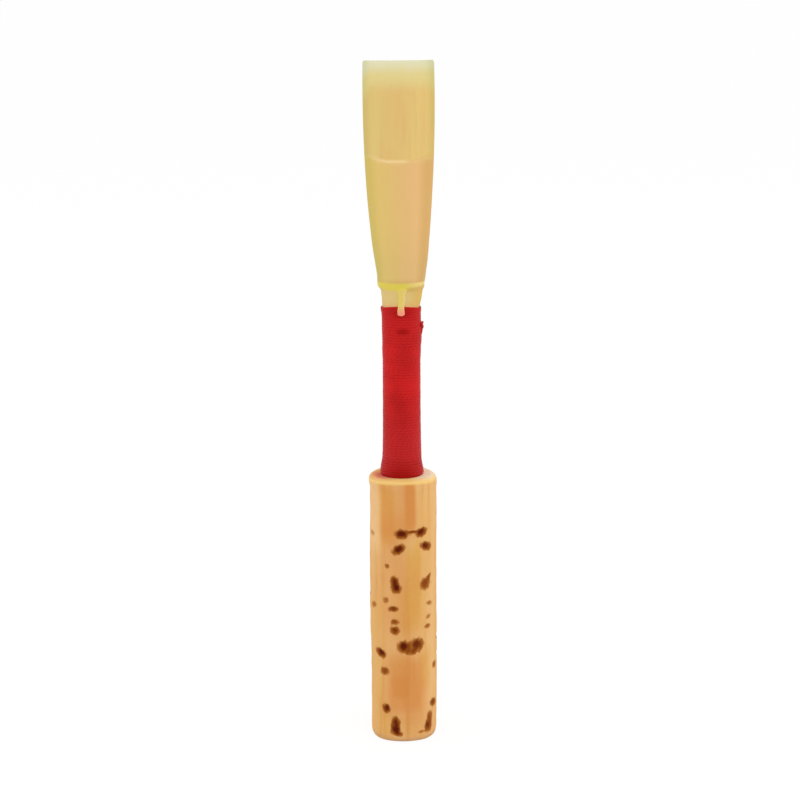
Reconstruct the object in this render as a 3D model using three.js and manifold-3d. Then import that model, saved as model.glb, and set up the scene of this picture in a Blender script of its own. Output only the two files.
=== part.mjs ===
// An oboe reed, in millimetres, standing on the foot of its cork.
//
// A tapered metal tube, the staple, runs up the middle. Cork is glued round its lower end, and the
// reed is pushed into the instrument by that cork. Two blades of cane are bound face to face on the
// staple's upper end with one long thread. Their tails lie under the thread, and above it they
// widen and flatten to a tip where a thin slit is left for the breath.
//
// Z runs up the reed from the foot to the tip, X across the width of the blades, and Y from the
// front blade, at -Y, to the back blade. The origin is on the axis, in the plane of the foot.
import * as THREE from "three";
import { mergeVertices } from "three/addons/utils/BufferGeometryUtils.js";
import Module from "manifold-3d";

const wasm = await Module();
wasm.setup();

// Staple: a round, tapered tube whose upper end is pressed to an oval mouth
const stapleLength = 47;
const stapleFootRadius = 2.6;
const stapleHeadRadius = 1.38; // mean of the oval mouth's two half widths
const mouthOval = 0.24; // how far the mouth is pressed wider, and as far flatter
const ovalLength = 14; // the stretch below the mouth that is pressed
const stapleWall = 0.35;

// Cork: one bored piece, glued on, its two outer edges sanded round
const corkLength = 28.25;
const corkRadius = 3.5;
const corkFootRound = 0.55;
const corkHeadRound = 0.2;
const glueGap = 0.04; // the film of glue between cork and staple

// Cane: the outline of a blade seen from the front
const bladeLength = 23; // cane that stands out above the staple's mouth
const widestHalf = 3.535; // half the width at the widest place
const widestBelowTip = 3.7;
const throatEdge = 0.77; // cane beside the staple's mouth, measured straight across
const caneEdge = 0.42; // cane beside the air channel at the widest place
const tipOpening = 0.7; // the slit between the blades, at its middle
const cornerCut = 0.12; // the corners of the tip are clipped by this much across
const cornerLength = 0.25; // and over this much of the height
const seatGap = 0.04; // between a tail and the staple that it lies on
const edgeGap = 0.04; // between the side edges of the two blades

// Cane: heights where its thickness changes, from the tails up
const tailLength = 6.5; // overlap on the staple
const featherLength = 2; // the tail thins out over this stretch
const shoulderAboveStaple = 0.3;
const shoulderBevel = 0.8;
const scrapeLength = 9.7;
const scrapeLip = 0.15;
const heartBelowTip = 5.5;
const tipRampLength = 2.2;

// Cane: thickness on the middle line at those heights, and of the tail's side
const featherThickness = 0.08;
const tailThickness = 0.18;
const tailSide = 0.16;
const bareThickness = 0.36; // the short neck above the thread, pared down
const barkThickness = 0.6;
const scrapeThickness = 0.5;
const heartThickness = 0.42;
const rampThickness = 0.26;
const tipThickness = 0.1;
const barkStep = 0.2; // how far the pared neck lies inside the blade's outline

// Cane: how far the curved cuts sag on the middle line
const shoulderSag = 0.12;
const scrapeSag = 0.28;
const sagFade = 1.6; // the stretch over which a sag dies out

// Cane: the sliver of bark left where the neck is pared, which points down over the thread
const sliverHalf = 0.38;
const sliverReach = 1; // how far its round end hangs below the top of the thread
const sliverInset = 0.03; // how far its face lies inside the bark's
const sliverLift = 0.03; // between the sliver and the thread under it

// Thread: a plain under layer with the outer turns wound over it
const threadBelowMouth = 1.05;
const threadLip = 0.2; // the cane swells out over this stretch above the thread
const threadFootGap = 0.04;
const bindingGap = 0.04; // between the under layer and what it lies on
const underThickness = 0.08;
const windingGap = 0.04; // between the under layer and the outer turns
const strandThickness = 0.11; // the strand is pulled flat by its tension
const strandWidth = 0.3;
const windingTurns = 24;
const climbLength = 0.5; // the stretch below the tails where the thread climbs on to them
const flareHeight = 2.1; // doubled turns that finish the binding, just above the cork
const flareThickness = 0.2;

// Thread: the knot that ties it off, on the right-hand side
const knotBelowThreadTop = 2.15;
const knotHeight = 0.8;
const knotWidth = 1;
const knotThickness = 0.2;

// Fineness of the faceted surfaces
const tubeSteps = 32;
const archSteps = 16;
const corkSteps = 48;
const roundSteps = 4;
const turnSteps = 24;
const strandSides = 6;
const knotSteps = 12;
const sliverSteps = 5;
const barkSteps = 3;
const heartSteps = 2;
const tipSteps = 3;

// Shape exponents of the blades' arch: 0.5 draws half an ellipse, 1 a flat parabola
const throatArchShare = 0.5;
const tipArchShare = 0.9;

// Heights that follow from the sizes above
const reedLength = stapleLength + bladeLength;
const mouthHalf = stapleHeadRadius + mouthOval;
const mouthRise = stapleHeadRadius - mouthOval;
const ovalStart = stapleLength - ovalLength;
const widestHeight = reedLength - widestBelowTip;
const tailFoot = stapleLength - tailLength;
const threadHead = stapleLength - threadBelowMouth;
const threadFoot = corkLength + threadFootGap;
const neckFoot = threadHead + threadLip;
const shoulderFoot = stapleLength + shoulderAboveStaple;
const shoulderCrest = shoulderFoot + shoulderBevel;
const scrapeFoot = reedLength - scrapeLength;
const scrapeFloor = scrapeFoot + scrapeLip;
const heartHeight = reedLength - heartBelowTip;
const rampFoot = reedLength - tipRampLength;
const shoulderHalf = mouthHalf + seatGap + throatEdge;

// Reads a piecewise straight profile, [[height, value], ...], at a height.
function profileAt(profile, height) {
  const above = profile.findIndex(([h]) => h >= height);
  if (above === 0) return profile[0][1];
  if (above < 0) return profile.at(-1)[1];
  const [lowHeight, lowValue] = profile[above - 1];
  const [highHeight, highValue] = profile[above];
  const share = (height - lowHeight) / (highHeight - lowHeight);
  return lowValue + (highValue - lowValue) * share;
}

// Evenly spaced heights from one to another, both ends included.
function heightsBetween(low, high, steps) {
  return Array.from({ length: steps + 1 }, (_, i) => low + ((high - low) * i) / steps);
}

// Two end heights and whichever marked heights lie between them, in rising order.
function stations(low, high, marks) {
  const between = marks.filter((mark) => mark > low && mark < high);
  return [...new Set([low, ...between, high])].sort((a, b) => a - b);
}

// Builds a geometry from a list of corner points and a list of quads of corner numbers.
function geometryOf(points, quads) {
  const geometry = new THREE.BufferGeometry();
  geometry.setAttribute("position", new THREE.Float32BufferAttribute(points.flat(), 3));
  geometry.setIndex(quads.flatMap(([a, b, c, d]) => [a, b, c, a, c, d]));
  return geometry;
}

// Quads that join each loop of points to the next. They face out where the loops run
// counterclockwise as seen from the side towards which they follow one another.
function wallQuads(rows) {
  const around = rows[0].length;
  return rows.slice(1).flatMap((row, j) =>
    row.map((_, i) => {
      const start = j * around;
      const beside = (i + 1) % around;
      return [start + i, start + beside, start + around + beside, start + around + i];
    }),
  );
}

// A loop of points round an oval of two half widths, counterclockwise seen from above.
function ovalRing(half, rise, height) {
  return Array.from({ length: tubeSteps }, (_, i) => {
    const turn = (2 * Math.PI * i) / tubeSteps;
    return [half * Math.cos(turn), rise * Math.sin(turn), height];
  });
}

// A tube whose outside and inside are ovals at a list of heights.
function sleeve(heights, outside, inside) {
  const up = heights.map((height) => ovalRing(...outside(height), height));
  const down = heights.map((height) => ovalRing(...inside(height), height)).reverse();
  const rows = [...up, ...down, up[0]];
  return geometryOf(rows.flat(), wallQuads(rows));
}

function solidOf(geometry) {
  const plain = geometry.clone();
  plain.deleteAttribute("normal");
  plain.deleteAttribute("uv");
  const merged = mergeVertices(plain);
  return new wasm.Manifold(
    new wasm.Mesh({
      numProp: 3,
      vertProperties: new Float32Array(merged.attributes.position.array),
      triVerts: new Uint32Array(merged.index.array),
    }),
  );
}

// An oval plug between two heights, as a solid.
function ovalPlug(low, high, sizeAt) {
  const plug = new THREE.CylinderGeometry(1, 1, 1, tubeSteps);
  plug.rotateX(Math.PI / 2);
  const corners = plug.attributes.position;
  for (let i = 0; i < corners.count; i += 1) {
    const height = corners.getZ(i) > 0 ? high : low;
    const [half, rise] = sizeAt(height);
    corners.setXYZ(i, corners.getX(i) * half, corners.getY(i) * rise, height);
  }
  return solidOf(plug);
}

function geometryOfSolid(solid) {
  const mesh = solid.getMesh();
  const geometry = new THREE.BufferGeometry();
  geometry.setAttribute("position", new THREE.BufferAttribute(mesh.vertProperties, 3));
  geometry.setIndex(new THREE.BufferAttribute(mesh.triVerts, 1));
  return geometry;
}

function named(name, geometry, finish) {
  geometry.computeVertexNormals();
  const mesh = new THREE.Mesh(geometry, finish);
  mesh.name = name;
  return mesh;
}

// Staple

// The staple's outer half widths, across and deep, at a height.
function stapleOuter(height) {
  const share = height / stapleLength;
  const mean = stapleFootRadius + (stapleHeadRadius - stapleFootRadius) * share;
  const oval = profileAt([[ovalStart, 0], [stapleLength, mouthOval]], height);
  return [mean + oval, mean - oval];
}

function stapleInner(height) {
  return stapleOuter(height).map((half) => half - stapleWall);
}

function makeStaple() {
  return sleeve(stations(0, stapleLength, [ovalStart]), stapleOuter, stapleInner);
}

// Cork

// Points of a quarter circle about a centre, from one angle to the next quarter.
function quarterRound(centreRadius, centreHeight, round, startAngle) {
  return heightsBetween(startAngle, startAngle + Math.PI / 2, roundSteps).map(
    (angle) =>
      new THREE.Vector2(
        centreRadius + round * Math.cos(angle),
        centreHeight + round * Math.sin(angle),
      ),
  );
}

function makeCork() {
  const boreFoot = stapleOuter(0)[0] + glueGap;
  const boreHead = stapleOuter(corkLength)[0] + glueGap;
  const footRound = Math.min(corkFootRound, (corkRadius - boreFoot) / 2);
  const profile = [
    new THREE.Vector2(boreFoot, 0),
    ...quarterRound(corkRadius - footRound, footRound, footRound, -Math.PI / 2),
    ...quarterRound(corkRadius - corkHeadRound, corkLength - corkHeadRound, corkHeadRound, 0),
    new THREE.Vector2(boreHead, corkLength),
    new THREE.Vector2(boreFoot, 0),
  ];
  const geometry = new THREE.LatheGeometry(profile, corkSteps);
  geometry.rotateX(Math.PI / 2);
  return geometry;
}

// Cane

// Thickness of a blade on its middle line, from the feathered tail to the tip.
const crownProfile = [
  [tailFoot, featherThickness],
  [tailFoot + featherLength, tailThickness],
  [threadHead, tailThickness],
  [neckFoot, bareThickness],
  [shoulderFoot, bareThickness],
  [shoulderCrest, barkThickness],
  [scrapeFoot, barkThickness],
  [scrapeFloor, scrapeThickness],
  [heartHeight, heartThickness],
  [rampFoot, rampThickness],
  [reedLength, tipThickness],
];

const tailSideProfile = [
  [tailFoot, featherThickness],
  [tailFoot + featherLength, tailSide],
];

const sagProfile = [
  [stapleLength, 0],
  [shoulderFoot, shoulderSag],
  [shoulderCrest, shoulderSag],
  [shoulderCrest + sagFade, 0],
  [scrapeFoot - sagFade, 0],
  [scrapeFoot, scrapeSag],
  [scrapeFloor, scrapeSag],
  [scrapeFloor + sagFade, 0],
];

// A parabola that is widest at one height and narrows to a value at a lower height.
function taperFrom(widest, narrow, narrowHeight, height) {
  const share = (widestHeight - height) / (widestHeight - narrowHeight);
  return widest - (widest - narrow) * share ** 2;
}

// Half width and rise of the air channel between the blades, or of the staple below its mouth.
function caneInner(height) {
  if (height <= stapleLength) return stapleOuter(height).map((half) => half + seatGap);
  const half = taperFrom(widestHalf - caneEdge, mouthHalf + seatGap, stapleLength, height);
  const rise = profileAt(
    [[stapleLength, mouthRise + seatGap], [reedLength, tipOpening / 2]],
    height,
  );
  return [half, rise];
}

// Half width and rise of a blade's outer face.
function caneOuter(height) {
  const [innerHalf, innerRise] = caneInner(height);
  const whole = taperFrom(widestHalf, shoulderHalf, shoulderCrest, height);
  const pared = profileAt([[shoulderFoot, barkStep], [shoulderCrest, 0]], height);
  const clipped = profileAt([[reedLength - cornerLength, 0], [reedLength, cornerCut]], height);
  const tail = innerHalf + profileAt(tailSideProfile, height);
  const blade = whole - pared - clipped;
  const half = profileAt([[threadHead, tail], [neckFoot, blade]], height);
  return [half, innerRise + profileAt(crownProfile, height)];
}

// A row of points across one face of the front blade, from its right edge to its left.
function archRow([half, rise], height, sag) {
  const share = profileAt(
    [[stapleLength, throatArchShare], [reedLength, tipArchShare]],
    height,
  );
  return Array.from({ length: archSteps + 1 }, (_, i) => {
    const angle = (Math.PI * i) / archSteps;
    const arch = Math.max(Math.sin(angle), 0) ** (2 * share);
    return [half * Math.cos(angle), -edgeGap / 2 - rise * arch, height - sag * arch];
  });
}

// The blade without its sliver: rows of loops, each out along the outer face and back on the inner.
function makeBladeSkin() {
  const heights = stations(tailFoot, reedLength, [
    ...crownProfile.map(([height]) => height),
    ...sagProfile.map(([height]) => height),
    ...heightsBetween(shoulderCrest + sagFade, scrapeFoot - sagFade, barkSteps),
    ...heightsBetween(heartHeight, rampFoot, heartSteps),
    ...heightsBetween(rampFoot, reedLength - cornerLength, tipSteps),
  ]);
  const loops = heights.map((height) => [
    ...archRow(caneOuter(height), height, profileAt(sagProfile, height)).reverse(),
    ...archRow(caneInner(height), height, 0),
  ]);
  const quads = wallQuads(loops);
  // The two ends are strips between the faces.
  const around = loops[0].length;
  const tip = (loops.length - 1) * around;
  for (let i = 0; i < archSteps; i += 1) {
    const opposite = around - 1 - i;
    quads.push([i + 1, i, opposite, opposite - 1]);
    quads.push([i, i + 1, opposite - 1, opposite].map((corner) => tip + corner));
  }
  return geometryOf(loops.flat(), quads);
}

// The sliver: a strip of the uncut bark with a round end, its underside clear of the thread.
function makeSliver() {
  const end = threadHead - sliverReach;
  const outline = new THREE.Shape();
  outline.moveTo(sliverHalf, shoulderCrest);
  outline.lineTo(-sliverHalf, shoulderCrest);
  outline.absarc(0, end + sliverHalf, sliverHalf, Math.PI, 2 * Math.PI, false);
  const strip = new THREE.ExtrudeGeometry(outline, {
    depth: corkRadius,
    bevelEnabled: false,
    curveSegments: sliverSteps,
  });
  strip.rotateX(Math.PI / 2);
  strip.translate(0, -caneInner(neckFoot)[1] - bareThickness / 2, 0);
  const bark = ovalPlug(end - sliverHalf, shoulderCrest + sliverHalf, uncutBark);
  const binding = ovalPlug(end - sliverHalf, threadHead + sliverLift, (height) =>
    bindingOuter(height).map((half) => half + sliverLift),
  );
  return solidOf(strip).intersect(bark).subtract(binding);
}

// Half widths of the bark as it would be with the neck unpared.
function uncutBark(height) {
  const [half, rise] = caneInner(height);
  return [half + throatEdge, rise + barkThickness + edgeGap / 2 - sliverInset];
}

function makeBlade() {
  return geometryOfSolid(solidOf(makeBladeSkin()).add(makeSliver()));
}

// Thread

// Half widths of what the thread lies on: the staple, then the tails of the cane.
function boundOuter(height) {
  if (height <= tailFoot - climbLength) return stapleOuter(height);
  const [half, rise] = caneOuter(Math.max(height, tailFoot));
  const onTail = [half, rise + edgeGap / 2];
  const climb = profileAt([[tailFoot - climbLength, 0], [tailFoot, 1]], height);
  return stapleOuter(height).map((start, k) => start + (onTail[k] - start) * climb);
}

function underLayerInner(height) {
  return boundOuter(height).map((half) => half + bindingGap);
}

function underLayerOuter(height) {
  const flare = profileAt([[threadFoot, flareThickness], [threadFoot + flareHeight, 0]], height);
  return underLayerInner(height).map((half) => half + underThickness + flare);
}

// Half widths of the whole binding, the outer turns included.
function bindingOuter(height) {
  const turns = windingGap + strandThickness;
  return underLayerOuter(Math.min(height, threadHead)).map((half) => half + turns);
}

function makeUnderLayer() {
  const heights = stations(threadFoot, threadHead, [
    threadFoot + flareHeight,
    ovalStart,
    tailFoot - climbLength,
    tailFoot,
    tailFoot + featherLength,
  ]);
  return sleeve(heights, underLayerOuter, underLayerInner);
}

// The outer turns: one strand with a flattened six-sided section, straight at both ends.
function windingRings() {
  const low = threadFoot + strandWidth / 2;
  const high = threadHead - strandWidth / 2;
  const steps = windingTurns * turnSteps;
  const lift = windingGap + strandThickness / 2;
  const rings = [];
  for (let k = 0; k <= steps; k += 1) {
    const height = low + ((high - low) * k) / steps;
    const turn = (2 * Math.PI * k) / turnSteps;
    const [half, rise] = underLayerOuter(height);
    const centre = new THREE.Vector3(
      (half + lift) * Math.cos(turn),
      (rise + lift) * Math.sin(turn),
      height,
    );
    const out = new THREE.Vector3(Math.cos(turn) / half, Math.sin(turn) / rise, 0).normalize();
    rings.push(strandSection(centre, out));
  }
  return [straightEnd(rings[0], rings[1]), ...rings, straightEnd(rings.at(-1), rings.at(-2))];
}

function strandSection(centre, out) {
  return Array.from({ length: strandSides }, (_, i) => {
    const angle = (2 * Math.PI * (i + 1 / 2)) / strandSides;
    const point = centre.clone().addScaledVector(out, (strandThickness / 2) * Math.sin(angle));
    point.z += (strandWidth / 2) * Math.cos(angle);
    return point.toArray();
  });
}

// A copy of an end ring, carried on straight for one strand width away from the ring before it.
function straightEnd(ring, before) {
  const middle = (points) =>
    points
      .reduce((sum, point) => sum.add(new THREE.Vector3(...point)), new THREE.Vector3())
      .divideScalar(points.length);
  const on = middle(ring).sub(middle(before)).setLength(strandWidth);
  return ring.map((point) => new THREE.Vector3(...point).add(on).toArray());
}

// The least distance between the surfaces of turns that lie beside each other.
function leastGap(rings) {
  let least = Infinity;
  rings.forEach((ring, i) => {
    rings.slice(i + turnSteps / 2, i + 2 * turnSteps).forEach((other) => {
      ring.forEach(([x, y, z]) => {
        other.forEach(([u, v, w]) => {
          least = Math.min(least, Math.hypot(x - u, y - v, z - w));
        });
      });
    });
  });
  return least;
}

function makeWinding() {
  const rings = windingRings();
  console.log(`thread winding: least gap to itself ${leastGap(rings).toFixed(2)} mm`);
  // Each end is closed by two quads across its six corners.
  const end = (rings.length - 1) * strandSides;
  const ends = [
    [0, 3, 2, 1],
    [0, 5, 4, 3],
    [end, end + 1, end + 2, end + 3],
    [end, end + 3, end + 4, end + 5],
  ];
  return geometryOf(rings.flat(), [...wallQuads(rings), ...ends]);
}

// The knot: a flattened lump that lies on the outer turns.
function makeKnot() {
  const height = threadHead - knotBelowThreadTop;
  const knot = new THREE.SphereGeometry(1, knotSteps, knotSteps / 2);
  knot.scale(knotThickness / 2, knotWidth / 2, knotHeight / 2);
  knot.translate(bindingOuter(height)[0] + windingGap + knotThickness / 2, 0, height);
  return knot;
}

// Finishes

const metal = new THREE.MeshStandardMaterial({
  color: 0xc9a860,
  metalness: 1,
  roughness: 0.32,
});
const cork = new THREE.MeshStandardMaterial({ color: 0xdea05f, roughness: 0.85 });
const cane = new THREE.MeshStandardMaterial({ color: 0xe2be7d, roughness: 0.5 });
const thread = new THREE.MeshStandardMaterial({ color: 0xb82324, roughness: 0.6 });

// Assembly

const staple = new THREE.Group();
staple.add(named("staple_tube", makeStaple(), metal));
staple.add(named("cork_sleeve", makeCork(), cork));

const blades = new THREE.Group();
const frontBlade = named("front_blade", makeBlade(), cane);
const backBlade = named("back_blade", frontBlade.geometry.clone(), cane);
backBlade.rotation.z = Math.PI;
blades.add(frontBlade, backBlade);

const binding = new THREE.Group();
binding.add(named("thread_under_layer", makeUnderLayer(), thread));
binding.add(named("thread_winding", makeWinding(), thread));
binding.add(named("thread_knot", makeKnot(), thread));

const reed = new THREE.Group();
reed.add(staple, blades, binding);

export default reed;
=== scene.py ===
# %% [markdown]
# # An oboe reed
#
# The reed stands on the foot of its cork. Two blades of cane are bound with red thread on a tapered
# metal tube, the staple, and cork is glued round the tube's lower half. The solid model gives every
# piece its size and place. This script dresses it: each piece is built again as a fine surface that
# is worked out with numpy, and gets a material made of shader nodes.
#
# Sizes are in millimetres, and a mesh is scaled to metres when it is made. Z runs up the reed, X
# across the blades, and the front blade is at -Y.

# %% Load the solid model
import math

import bpy
import numpy as np
from mathutils import Matrix, Vector


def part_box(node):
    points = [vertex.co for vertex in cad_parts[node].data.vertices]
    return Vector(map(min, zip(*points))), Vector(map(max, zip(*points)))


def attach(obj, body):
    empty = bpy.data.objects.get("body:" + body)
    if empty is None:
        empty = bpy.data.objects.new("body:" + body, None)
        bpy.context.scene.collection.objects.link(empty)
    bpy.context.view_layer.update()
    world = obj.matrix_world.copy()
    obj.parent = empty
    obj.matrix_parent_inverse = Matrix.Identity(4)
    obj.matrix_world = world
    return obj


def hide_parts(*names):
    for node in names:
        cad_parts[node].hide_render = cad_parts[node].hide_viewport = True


MM = 0.001
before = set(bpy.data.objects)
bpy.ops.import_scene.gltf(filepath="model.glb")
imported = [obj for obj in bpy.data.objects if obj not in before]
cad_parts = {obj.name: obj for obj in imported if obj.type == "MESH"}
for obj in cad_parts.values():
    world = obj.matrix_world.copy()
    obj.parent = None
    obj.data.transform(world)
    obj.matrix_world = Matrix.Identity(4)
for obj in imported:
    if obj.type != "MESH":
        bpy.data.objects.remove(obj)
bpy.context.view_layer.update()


def solid(node):
    """Lowest and highest corner of a piece of the solid model, in millimetres."""
    low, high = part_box(node)
    return np.array(low) / MM, np.array(high) / MM


# %% [markdown]
# ## The camera
#
# The photograph looks slightly down on the reed from about 20 cm away, and the reed leans half a
# degree to the left in it. A camera could be placed by eye, but the reed has many marks at known
# heights, so the distance, height and focal length were worked out from those marks. The small shift
# puts the optical axis where the marks say that it was.

# %% Camera
IMAGE_SIZE = 800  # pixels
SENSOR_WIDTH = 36
EYE_DISTANCE = 194.4
EYE_HEIGHT = 83.6
AIM_HEIGHT = 35
FOCAL_PIXELS = 1971.8
ROLL = -0.0091  # radians
AXIS_PIXEL = (401.2, 409.0)


def make_camera():
    """The view axis runs from the eye to the aim point, and right and up are turned about it by the
    roll."""
    eye = Vector((0, -EYE_DISTANCE, EYE_HEIGHT))
    forward = (Vector((0, 0, AIM_HEIGHT)) - eye).normalized()
    level = Vector((1, 0, 0))
    upright = level.cross(forward)
    right = level * math.cos(ROLL) + upright * math.sin(ROLL)
    up = upright * math.cos(ROLL) - level * math.sin(ROLL)
    camera = bpy.data.objects.new("camera", bpy.data.cameras.new("camera"))
    camera.data.sensor_width = SENSOR_WIDTH
    camera.data.lens = FOCAL_PIXELS * SENSOR_WIDTH / IMAGE_SIZE
    camera.data.shift_x = (IMAGE_SIZE / 2 - AXIS_PIXEL[0]) / IMAGE_SIZE
    camera.data.shift_y = (AXIS_PIXEL[1] - IMAGE_SIZE / 2) / IMAGE_SIZE
    camera.data.clip_start = MM
    axes = Matrix((right, up, -forward)).transposed()
    camera.matrix_world = Matrix.Translation(eye * MM) @ axes.to_4x4()
    bpy.context.scene.collection.objects.link(camera)
    bpy.context.scene.camera = camera
    return camera


camera = make_camera()
bpy.context.scene.view_settings.view_transform = "Standard"
print("the lens is", round(camera.data.lens, 1), "mm")

# %% [markdown]
# ## Shader sums
#
# A material's pattern is a sum of noises, ramps and masks. Wiring each node by hand hides the sum, so
# one small class wraps an output socket and lets Python's operators add the Math nodes.


# %% Shader sums
MIX_FACTOR, MIX_FIRST, MIX_SECOND, MIX_RESULT = 0, 6, 7, 2  # sockets of a Mix node for colours


class Signal:
    """An output socket in a node tree. A sum with it adds Math nodes to that tree."""

    def __init__(self, tree, socket=None):
        self.tree = tree
        self.socket = socket

    def node(self, kind, settings, inputs, output=0):
        """Adds a node of a type, applies its settings, then sets or links its inputs. A socket goes
        by its name or its number."""
        node = self.tree.nodes.new(kind)
        for name, setting in settings.items():
            setattr(node, name, setting)
        for name, value in inputs.items():
            if isinstance(value, Signal):
                self.tree.links.new(value.socket, node.inputs[name])
            else:
                node.inputs[name].default_value = value
        return Signal(self.tree, node.outputs[output])

    def sum(self, operation, first, second=0.0):
        """One Math node."""
        return self.node("ShaderNodeMath", {"operation": operation}, {0: first, 1: second})

    def __add__(self, other):
        return self.sum("ADD", self, other)

    __radd__ = __add__

    def __mul__(self, other):
        return self.sum("MULTIPLY", self, other)

    __rmul__ = __mul__

    def __sub__(self, other):
        return self.sum("SUBTRACT", self, other)

    def __rsub__(self, other):
        return self.sum("SUBTRACT", other, self)

    def ramp(self, low, high):
        """Rises smoothly from 0 at low to 1 at high, or falls when low is above high."""
        inputs = {"Value": self, "From Min": min(low, high), "From Max": max(low, high)}
        rise = self.node("ShaderNodeMapRange", {"interpolation_type": "SMOOTHSTEP"}, inputs)
        return rise if low < high else 1 - rise

    def blend(self, first, second, blend_type="MIX"):
        """Two colours mixed by this signal: 0 gives the first and 1 the second."""
        settings = {"data_type": "RGBA", "blend_type": blend_type}
        inputs = {MIX_FACTOR: self, MIX_FIRST: first, MIX_SECOND: second}
        return self.node("ShaderNodeMix", settings, inputs, MIX_RESULT)

    def shade(self, colour, factors):
        """A colour multiplied by three factors as far as this signal says."""
        return self.blend(colour, (*factors, 1.0), "MULTIPLY")


# %% Screen colours
def screen(red, green, blue):
    """A colour as it is read off a screen, 0 to 255, made linear for a shader."""
    share = np.array([red, green, blue]) / 255
    low, high = share / 12.92, ((share + 0.055) / 1.055) ** 2.4
    return (*np.where(share <= 0.04045, low, high).tolist(), 1.0)


# %% Sources of a pattern
def places(sheet, *stretch):
    """Object coordinates in millimetres, each axis multiplied by its stretch."""
    source = sheet.node("ShaderNodeTexCoord", {}, {}, "Object")
    scale = [share / MM for share in stretch or (1, 1, 1)]
    return sheet.node("ShaderNodeVectorMath", {"operation": "MULTIPLY"}, {0: source, 1: scale})


def axis_of(where, axis):
    """One of the three coordinates of places."""
    return where.node("ShaderNodeSeparateXYZ", {}, {"Vector": where}, axis)


def noise(sheet, where, scale=1.0, detail=2.0, roughness=0.5):
    """A cloudy noise, from 0 to 1, whose clouds are about a millimetre wide at scale 1."""
    inputs = {"Vector": where, "Scale": scale, "Detail": detail, "Roughness": roughness}
    return sheet.node("ShaderNodeTexNoise", {}, inputs)


def mark(sheet, name):
    """A number that the mesh carries at each of its points."""
    return sheet.node("ShaderNodeAttribute", {"attribute_name": name}, {}, "Fac")


def finish_material(name, pattern, **constants):
    """A principled material. The pattern function gives what varies, as {socket: signal}, and a bump
    as "Bump": (height signal, depth in millimetres)."""
    material = bpy.data.materials.new(name)
    material.use_nodes = True
    shader = material.node_tree.nodes["Principled BSDF"]
    for socket, value in constants.items():
        shader.inputs[socket.replace("_", " ")].default_value = value
    sheet = Signal(material.node_tree)
    varying = pattern(sheet)
    if "Bump" in varying:
        height, depth = varying.pop("Bump")
        varying["Normal"] = sheet.node(
            "ShaderNodeBump", {}, {"Height": height, "Distance": depth * MM, "Strength": 1.0}
        )
    for socket, signal in varying.items():
        material.node_tree.links.new(signal.socket, shader.inputs[socket])
    print("material", name, "has", len(material.node_tree.nodes), "nodes")
    return material


# %% [markdown]
# ## Surfaces from grids
#
# Every piece of a reed is long and has a closed section, so each surface is a stack of closed loops
# of points. The faces between neighbouring loops follow one rule, which is written once. What changes
# along a piece is a smooth step, a band or a hill of its height. The sum of the corner products of
# all faces measures the volume that a mesh encloses, and it comes out positive only when the faces
# point outwards.


# %% Surfaces from grids
def along(table, height):
    """Reads a table of heights and values at any height, with straight lines between its rows."""
    heights, values = np.array(table, float).T
    return np.interp(height, heights, values)


def smooth_step(value, low, high):
    """Rises in a smooth S from 0 at low to 1 at high, or falls when low is above high."""
    share = np.clip((value - low) / (high - low), 0, 1)
    return share * share * (3 - 2 * share)


def band(value, rise, fall):
    """Rises from 0 to 1 between the two values of rise, and falls back between those of fall."""
    return smooth_step(value, *rise) * smooth_step(value, *fall[::-1])


def hill(value, centre, width):
    """A bell curve of height 1."""
    return np.exp(-(((value - centre) / width) ** 2))


def loop_faces(loops, ring=False):
    """Quads between each closed loop of points and the next, and with ring from the last loop to the
    first. They face outwards where the loops run counterclockwise as seen from where they lead."""
    rows, around = loops.shape[:2]
    j, i = np.meshgrid(np.arange(rows if ring else rows - 1), np.arange(around), indexing="ij")
    k, beside = (j + 1) % rows, (i + 1) % around
    corners = [j * around + i, j * around + beside, k * around + beside, k * around + i]
    return np.stack(corners, -1).reshape(-1, 4)


def both_faces(outer, inner):
    """Closed loops of a sheet, which run out along its outer face and back along its inner one."""
    return np.concatenate([outer[:, ::-1], inner], axis=1)


def sheet_faces(loops):
    """The quads between a sheet's loops, and those that close its first and last loop. The first ones
    are turned round to face down."""
    rows, around = loops.shape[:2]
    i = np.arange(around // 2 - 1)
    opposite = around - 1 - i
    strip = np.stack([i, i + 1, opposite - 1, opposite], -1)
    return np.concatenate([loop_faces(loops), strip[:, ::-1], (rows - 1) * around + strip])


# %% One mesh, straight or leaning
# heights, and how far this reed leans to the right there: its cork, its thread, its neck, its blades
LEAN = [(0, 0.0), (5, 0.05), (9, 0.08), (14, 0.03), (20, 0.07), (24, 0.13), (27.1, 0.12)]
LEAN += [(28.3, 0.03), (29.3, 0.0), (30.5, 0.04), (36, 0.06), (41.5, 0.09), (42.2, 0.14)]
LEAN += [(43.5, 0.12), (44.4, 0.1), (45.6, 0.06), (46.5, 0.15), (47.4, 0.17), (47.9, 0.08)]
LEAN += [(48.8, 0.14), (50.3, 0.13), (52, 0.08), (57, 0.03), (70, 0.02)]


def volume(mesh):
    """A sixth of the sum, over all triangles, of one corner times the cross product of the others."""
    mesh.calc_loop_triangles()
    corners = np.empty(3 * len(mesh.loop_triangles), np.int32)
    mesh.loop_triangles.foreach_get("vertices", corners)
    points = np.empty(3 * len(mesh.vertices), np.float32)
    mesh.vertices.foreach_get("co", points)
    a, b, c = points.reshape(-1, 3)[corners.reshape(-1, 3)].transpose(1, 0, 2) / MM
    return float(np.sum(a * np.cross(b, c)) / 6)


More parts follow.
